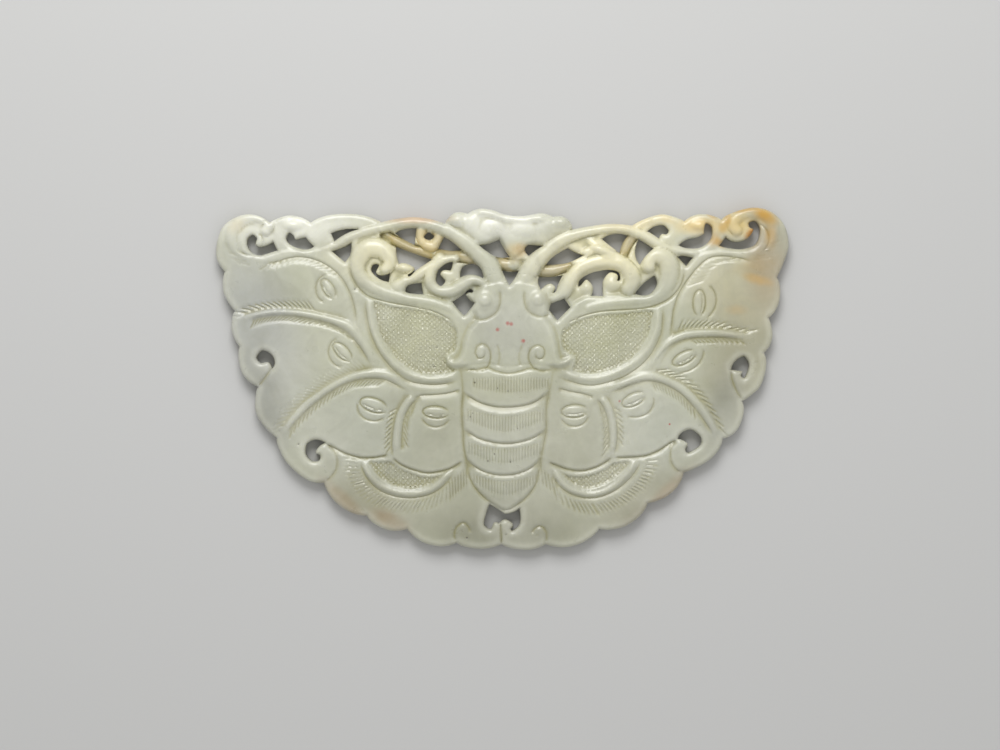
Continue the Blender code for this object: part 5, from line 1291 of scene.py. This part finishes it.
def plaque_object(material):
    """The plaque as one closed mesh with its colours."""
    loops, corners, faces, z, to_rim = carved_face()
    rims = open_edges(faces)
    back_loops = [corners[chain] for chain in rim_loops(corners, rims)]
    row = rim_row(loops, BACK_ROUND, to_rim)
    fill = clear_of(hex_grid(BACK_STEP, loops), tree_of(points_of(loops)), BACK_ROUND * BACK_SHARE)
    back_corners, back_faces = sheet(back_loops, [], list(row) + list(fill))
    back_z = back_height(to_rim(back_corners))

    count = len(corners)
    below = {tuple(np.round(p, 4)): count + i for i, p in enumerate(back_corners)}
    under = {a: below[tuple(np.round(corners[a], 4))] for a, _ in rims}
    triangles = [tuple(int(i) for i in f[::-1]) for f in faces]
    triangles += [tuple(int(i) + count for i in f) for f in back_faces]
    for a, b in rims:
        triangles.append((a, b, under[a]))
        triangles.append((b, under[b], under[a]))
    points = np.vstack([to_world(corners, z), to_world(back_corners, back_z)])
    body = bmesh.new()
    verts = [body.verts.new(p) for p in points]
    for a, b, c in triangles:
        body.faces.new((verts[a], verts[b], verts[c]))
    bmesh.ops.delete(body, geom=[v for v in body.verts if not v.link_faces], context="VERTS")
    bmesh.ops.recalc_face_normals(body, faces=body.faces)
    mesh = bpy.data.meshes.new("jade_plaque")
    body.to_mesh(mesh)
    body.free()
    mesh.materials.append(material)
    mesh.shade_smooth()
    mesh.set_sharp_from_angle(angle=math.radians(SHARP_ANGLE))
    tint_mesh(mesh, to_rim)
    plaque = bpy.data.objects.new("jade_plaque", mesh)
    bpy.context.scene.collection.objects.link(plaque)
    return plaque


def hollows(mesh, z):
    """How far each vertex lies above (plus) or below its wider surroundings, in metres."""
    ends = np.zeros(len(mesh.edges) * 2, dtype=int)
    mesh.edges.foreach_get("vertices", ends)
    a, b = ends.reshape(-1, 2).T
    count = np.maximum(np.bincount(np.concatenate([a, b]), minlength=len(z)), 1)
    smooth = z.copy()
    for _ in range(SMOOTH_ROUNDS):
        total = np.bincount(a, weights=smooth[b], minlength=len(z))
        total += np.bincount(b, weights=smooth[a], minlength=len(z))
        smooth = (smooth + total / count) / 2
    return z - smooth


def on_stem(plan, stem):
    """One on a stem and zero beside it."""
    weight = np.zeros(len(plan))
    spot, distance, half, _ = beside_stem(plan, stem)
    weight[spot] = ease((half + STEM_FOOT - distance) / STEM_FOOT)
    return weight


def blend_patches(colour, plan, patches):
    """The colours with soft oval patches laid over them in turn."""
    for centre, axes, tilt, tone, strength in patches.values():
        u, v = in_axes(plan, centre, axes, tilt)
        colour = blend(colour, tone, strength * ease(PATCH_REACH - np.sqrt(u * u + v * v)))
    return colour


def blend(colour, tone, weight):
    """The colours with a tone laid over them by a weight for each vertex."""
    share = weight[:, None]
    return colour * (1 - share) + np.array(tone) * share


def tint_mesh(mesh, to_rim):
    """A colour on each vertex: stone, clouds, stains, painted light on rims, top edge and ridges, painted shade
    in hollows, notches and low down.
    """
    world = np.zeros(len(mesh.vertices) * 3)
    mesh.vertices.foreach_get("co", world)
    world = world.reshape(-1, 3)
    plan = np.stack([world[:, 0] / UNIT + PLAN_CENTRE[0], PLAN_CENTRE[1] - world[:, 1] / UNIT], axis=1)
    colour = np.tile(np.array(STONE), (len(plan), 1))
    # Clouds in the stone, painted shade towards the bottom and painted highlights along the top edge
    colour = blend_patches(colour, plan, CLOUDS_AND_PAINTED_LIGHT)
    front = np.zeros(len(plan))
    for name, (stem, _) in STEMS.items():
        if name not in STEM_TINTS:
            front = np.maximum(front, on_stem(plan, stem))
    # Painted light on every rim, standing in for light glowing through the thin edges
    colour = blend(colour, PALE, RIM_GLOW * ease(1 - to_rim(plan) / RIM_GLOW_WIDTH))
    for name, (tone, strength) in STEM_TINTS.items():
        colour = blend(colour, tone, strength * on_stem(plan, STEMS[name][0]) * (1 - front))
    rise = hollows(mesh, world[:, 2])
    # Painted shade in the hollows and a painted highlight on the ridges
    colour = blend(colour, HOLLOW, HOLLOW_SHADE_STRENGTH * ease(-rise / HOLLOW_FULL))
    colour = blend(colour, PALE, RIDGE_HIGHLIGHT * ease(rise / HOLLOW_FULL))
    # Stains, and the painted shade in the notches
    colour = blend_patches(colour, plan, STAINS_AND_NOTCH_SHADE)
    for x, y, size, tone in SPECKS:
        gap = np.hypot(plan[:, 0] - x, plan[:, 1] - y) / size
        colour = blend(colour, tone, SPECK_STRENGTH * ease(SPECK_REACH - gap))
    layer = mesh.color_attributes.new("tint", "FLOAT_COLOR", "POINT")
    flat = np.hstack([colour, np.ones((len(colour), 1))]).ravel()
    layer.data.foreach_set("color", flat)


def noise(tree, place, settings):
    """A noise texture over the object's own coordinates."""
    node = tree.nodes.new("ShaderNodeTexNoise")
    for socket, value in settings.items():
        node.inputs[socket].default_value = value
    tree.links.new(place.outputs["Object"], node.inputs["Vector"])
    return node.outputs["Fac"]


def mapped(tree, source, settings):
    """A value mapped to another range."""
    node = tree.nodes.new("ShaderNodeMapRange")
    for socket, value in settings.items():
        node.inputs[socket].default_value = value
    tree.links.new(source, node.inputs["Value"])
    return node.outputs["Result"]


def laid_over(tree, under, tone, share):
    """A tone laid over a colour by a share."""
    node = tree.nodes.new("ShaderNodeMix")
    node.data_type = "RGBA"
    node.inputs["B"].default_value = (*tone, 1)
    tree.links.new(share, node.inputs["Factor"])
    tree.links.new(under, node.inputs["A"])
    return node.outputs["Result"]


def jade():
    """Waxy translucent stone: the vertex tint, soft clouding, fine grain and a polish that varies."""
    material = bpy.data.materials.new("jade")
    material.use_nodes = True
    tree = material.node_tree
    shader = tree.nodes["Principled BSDF"]
    shader.inputs["Metallic"].default_value = 0
    shader.inputs["IOR"].default_value = STONE_IOR
    shader.inputs["Subsurface Weight"].default_value = SUBSURFACE_WEIGHT
    shader.inputs["Subsurface Radius"].default_value = SUBSURFACE_RADIUS
    shader.inputs["Subsurface Scale"].default_value = SUBSURFACE_SCALE
    place = tree.nodes.new("ShaderNodeTexCoord")
    tint = tree.nodes.new("ShaderNodeVertexColor")
    tint.layer_name = "tint"

    cloud = mapped(tree, noise(tree, place, CLOUD_NOISE), CLOUD_RANGE)
    clouded = laid_over(tree, tint.outputs["Color"], PALE, cloud)
    veil = mapped(tree, noise(tree, place, VEIL_NOISE), VEIL_RANGE)
    grained = tree.nodes.new("ShaderNodeVectorMath")
    grained.operation = "SCALE"
    tree.links.new(laid_over(tree, clouded, SHADE, veil), grained.inputs["Vector"])
    tree.links.new(mapped(tree, noise(tree, place, GRAIN_NOISE), GRAIN_RANGE), grained.inputs["Scale"])
    tree.links.new(grained.outputs["Vector"], shader.inputs["Base Color"])

    polish = noise(tree, place, POLISH_NOISE)
    tree.links.new(mapped(tree, polish, POLISH_RANGE), shader.inputs["Roughness"])
    bump = tree.nodes.new("ShaderNodeBump")
    bump.inputs["Strength"].default_value = BUMP_STRENGTH
    bump.inputs["Distance"].default_value = BUMP_DISTANCE
    tree.links.new(polish, bump.inputs["Height"])
    tree.links.new(bump.outputs["Normal"], shader.inputs["Normal"])
    return material


def floor():
    """A large pale plane that the plaque lies on."""
    material = bpy.data.materials.new("floor")
    material.use_nodes = True
    shader = material.node_tree.nodes["Principled BSDF"]
    shader.inputs["Base Color"].default_value = (*FLOOR_COLOUR, 1)
    shader.inputs["Roughness"].default_value = FLOOR_ROUGHNESS
    corners = [(x * FLOOR_HALF, y * FLOOR_HALF, 0) for x, y in ((-1, -1), (1, -1), (1, 1), (-1, 1))]
    mesh = bpy.data.meshes.new("floor")
    mesh.from_pydata(corners, [], [(0, 1, 2, 3)])
    mesh.materials.append(material)
    plane = bpy.data.objects.new("floor", mesh)
    bpy.context.scene.collection.objects.link(plane)


def area_light(name, size, power, place):
    """A soft square light that looks at the middle of the plaque."""
    light = bpy.data.lights.new(name, "AREA")
    light.shape = "SQUARE"
    light.size = size
    light.energy = power
    lamp = bpy.data.objects.new(name, light)
    bpy.context.scene.collection.objects.link(lamp)
    lamp.location = place
    lamp.rotation_mode = "QUATERNION"
    lamp.rotation_quaternion = (-Vector(place)).to_track_quat("-Z", "Y")


def light_and_camera():
    """Soft light from beyond the feelers, weak fill, and a camera straight above."""
    area_light("key", KEY_SIZE, KEY_POWER, KEY_PLACE)
    area_light("fill", FILL_SIZE, FILL_POWER, FILL_PLACE)
    world = bpy.data.worlds.new("studio")
    world.use_nodes = True
    background = world.node_tree.nodes["Background"]
    background.inputs["Color"].default_value = (1, 1, 1, 1)
    background.inputs["Strength"].default_value = SKY_STRENGTH
    bpy.context.scene.world = world

    data = bpy.data.cameras.new("camera")
    data.lens = LENS
    data.sensor_width = SENSOR
    data.clip_start = CLIP_START
    camera = bpy.data.objects.new("camera", data)
    bpy.context.scene.collection.objects.link(camera)
    reach = IMAGE_WIDTH * UNIT * LENS / SENSOR
    x = (IMAGE_WIDTH / 2 - PLAN_CENTRE[0]) * UNIT
    y = (PLAN_CENTRE[1] - IMAGE_HEIGHT / 2) * UNIT
    camera.location = (x, y, RIM_TOP / 2 + reach)
    bpy.context.scene.camera = camera
    bpy.context.scene.view_settings.view_transform = "Standard"


def main():
    plaque = plaque_object(jade())
    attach(plaque, "root")
    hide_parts("butterfly_plaque")
    floor()
    light_and_camera()


main()
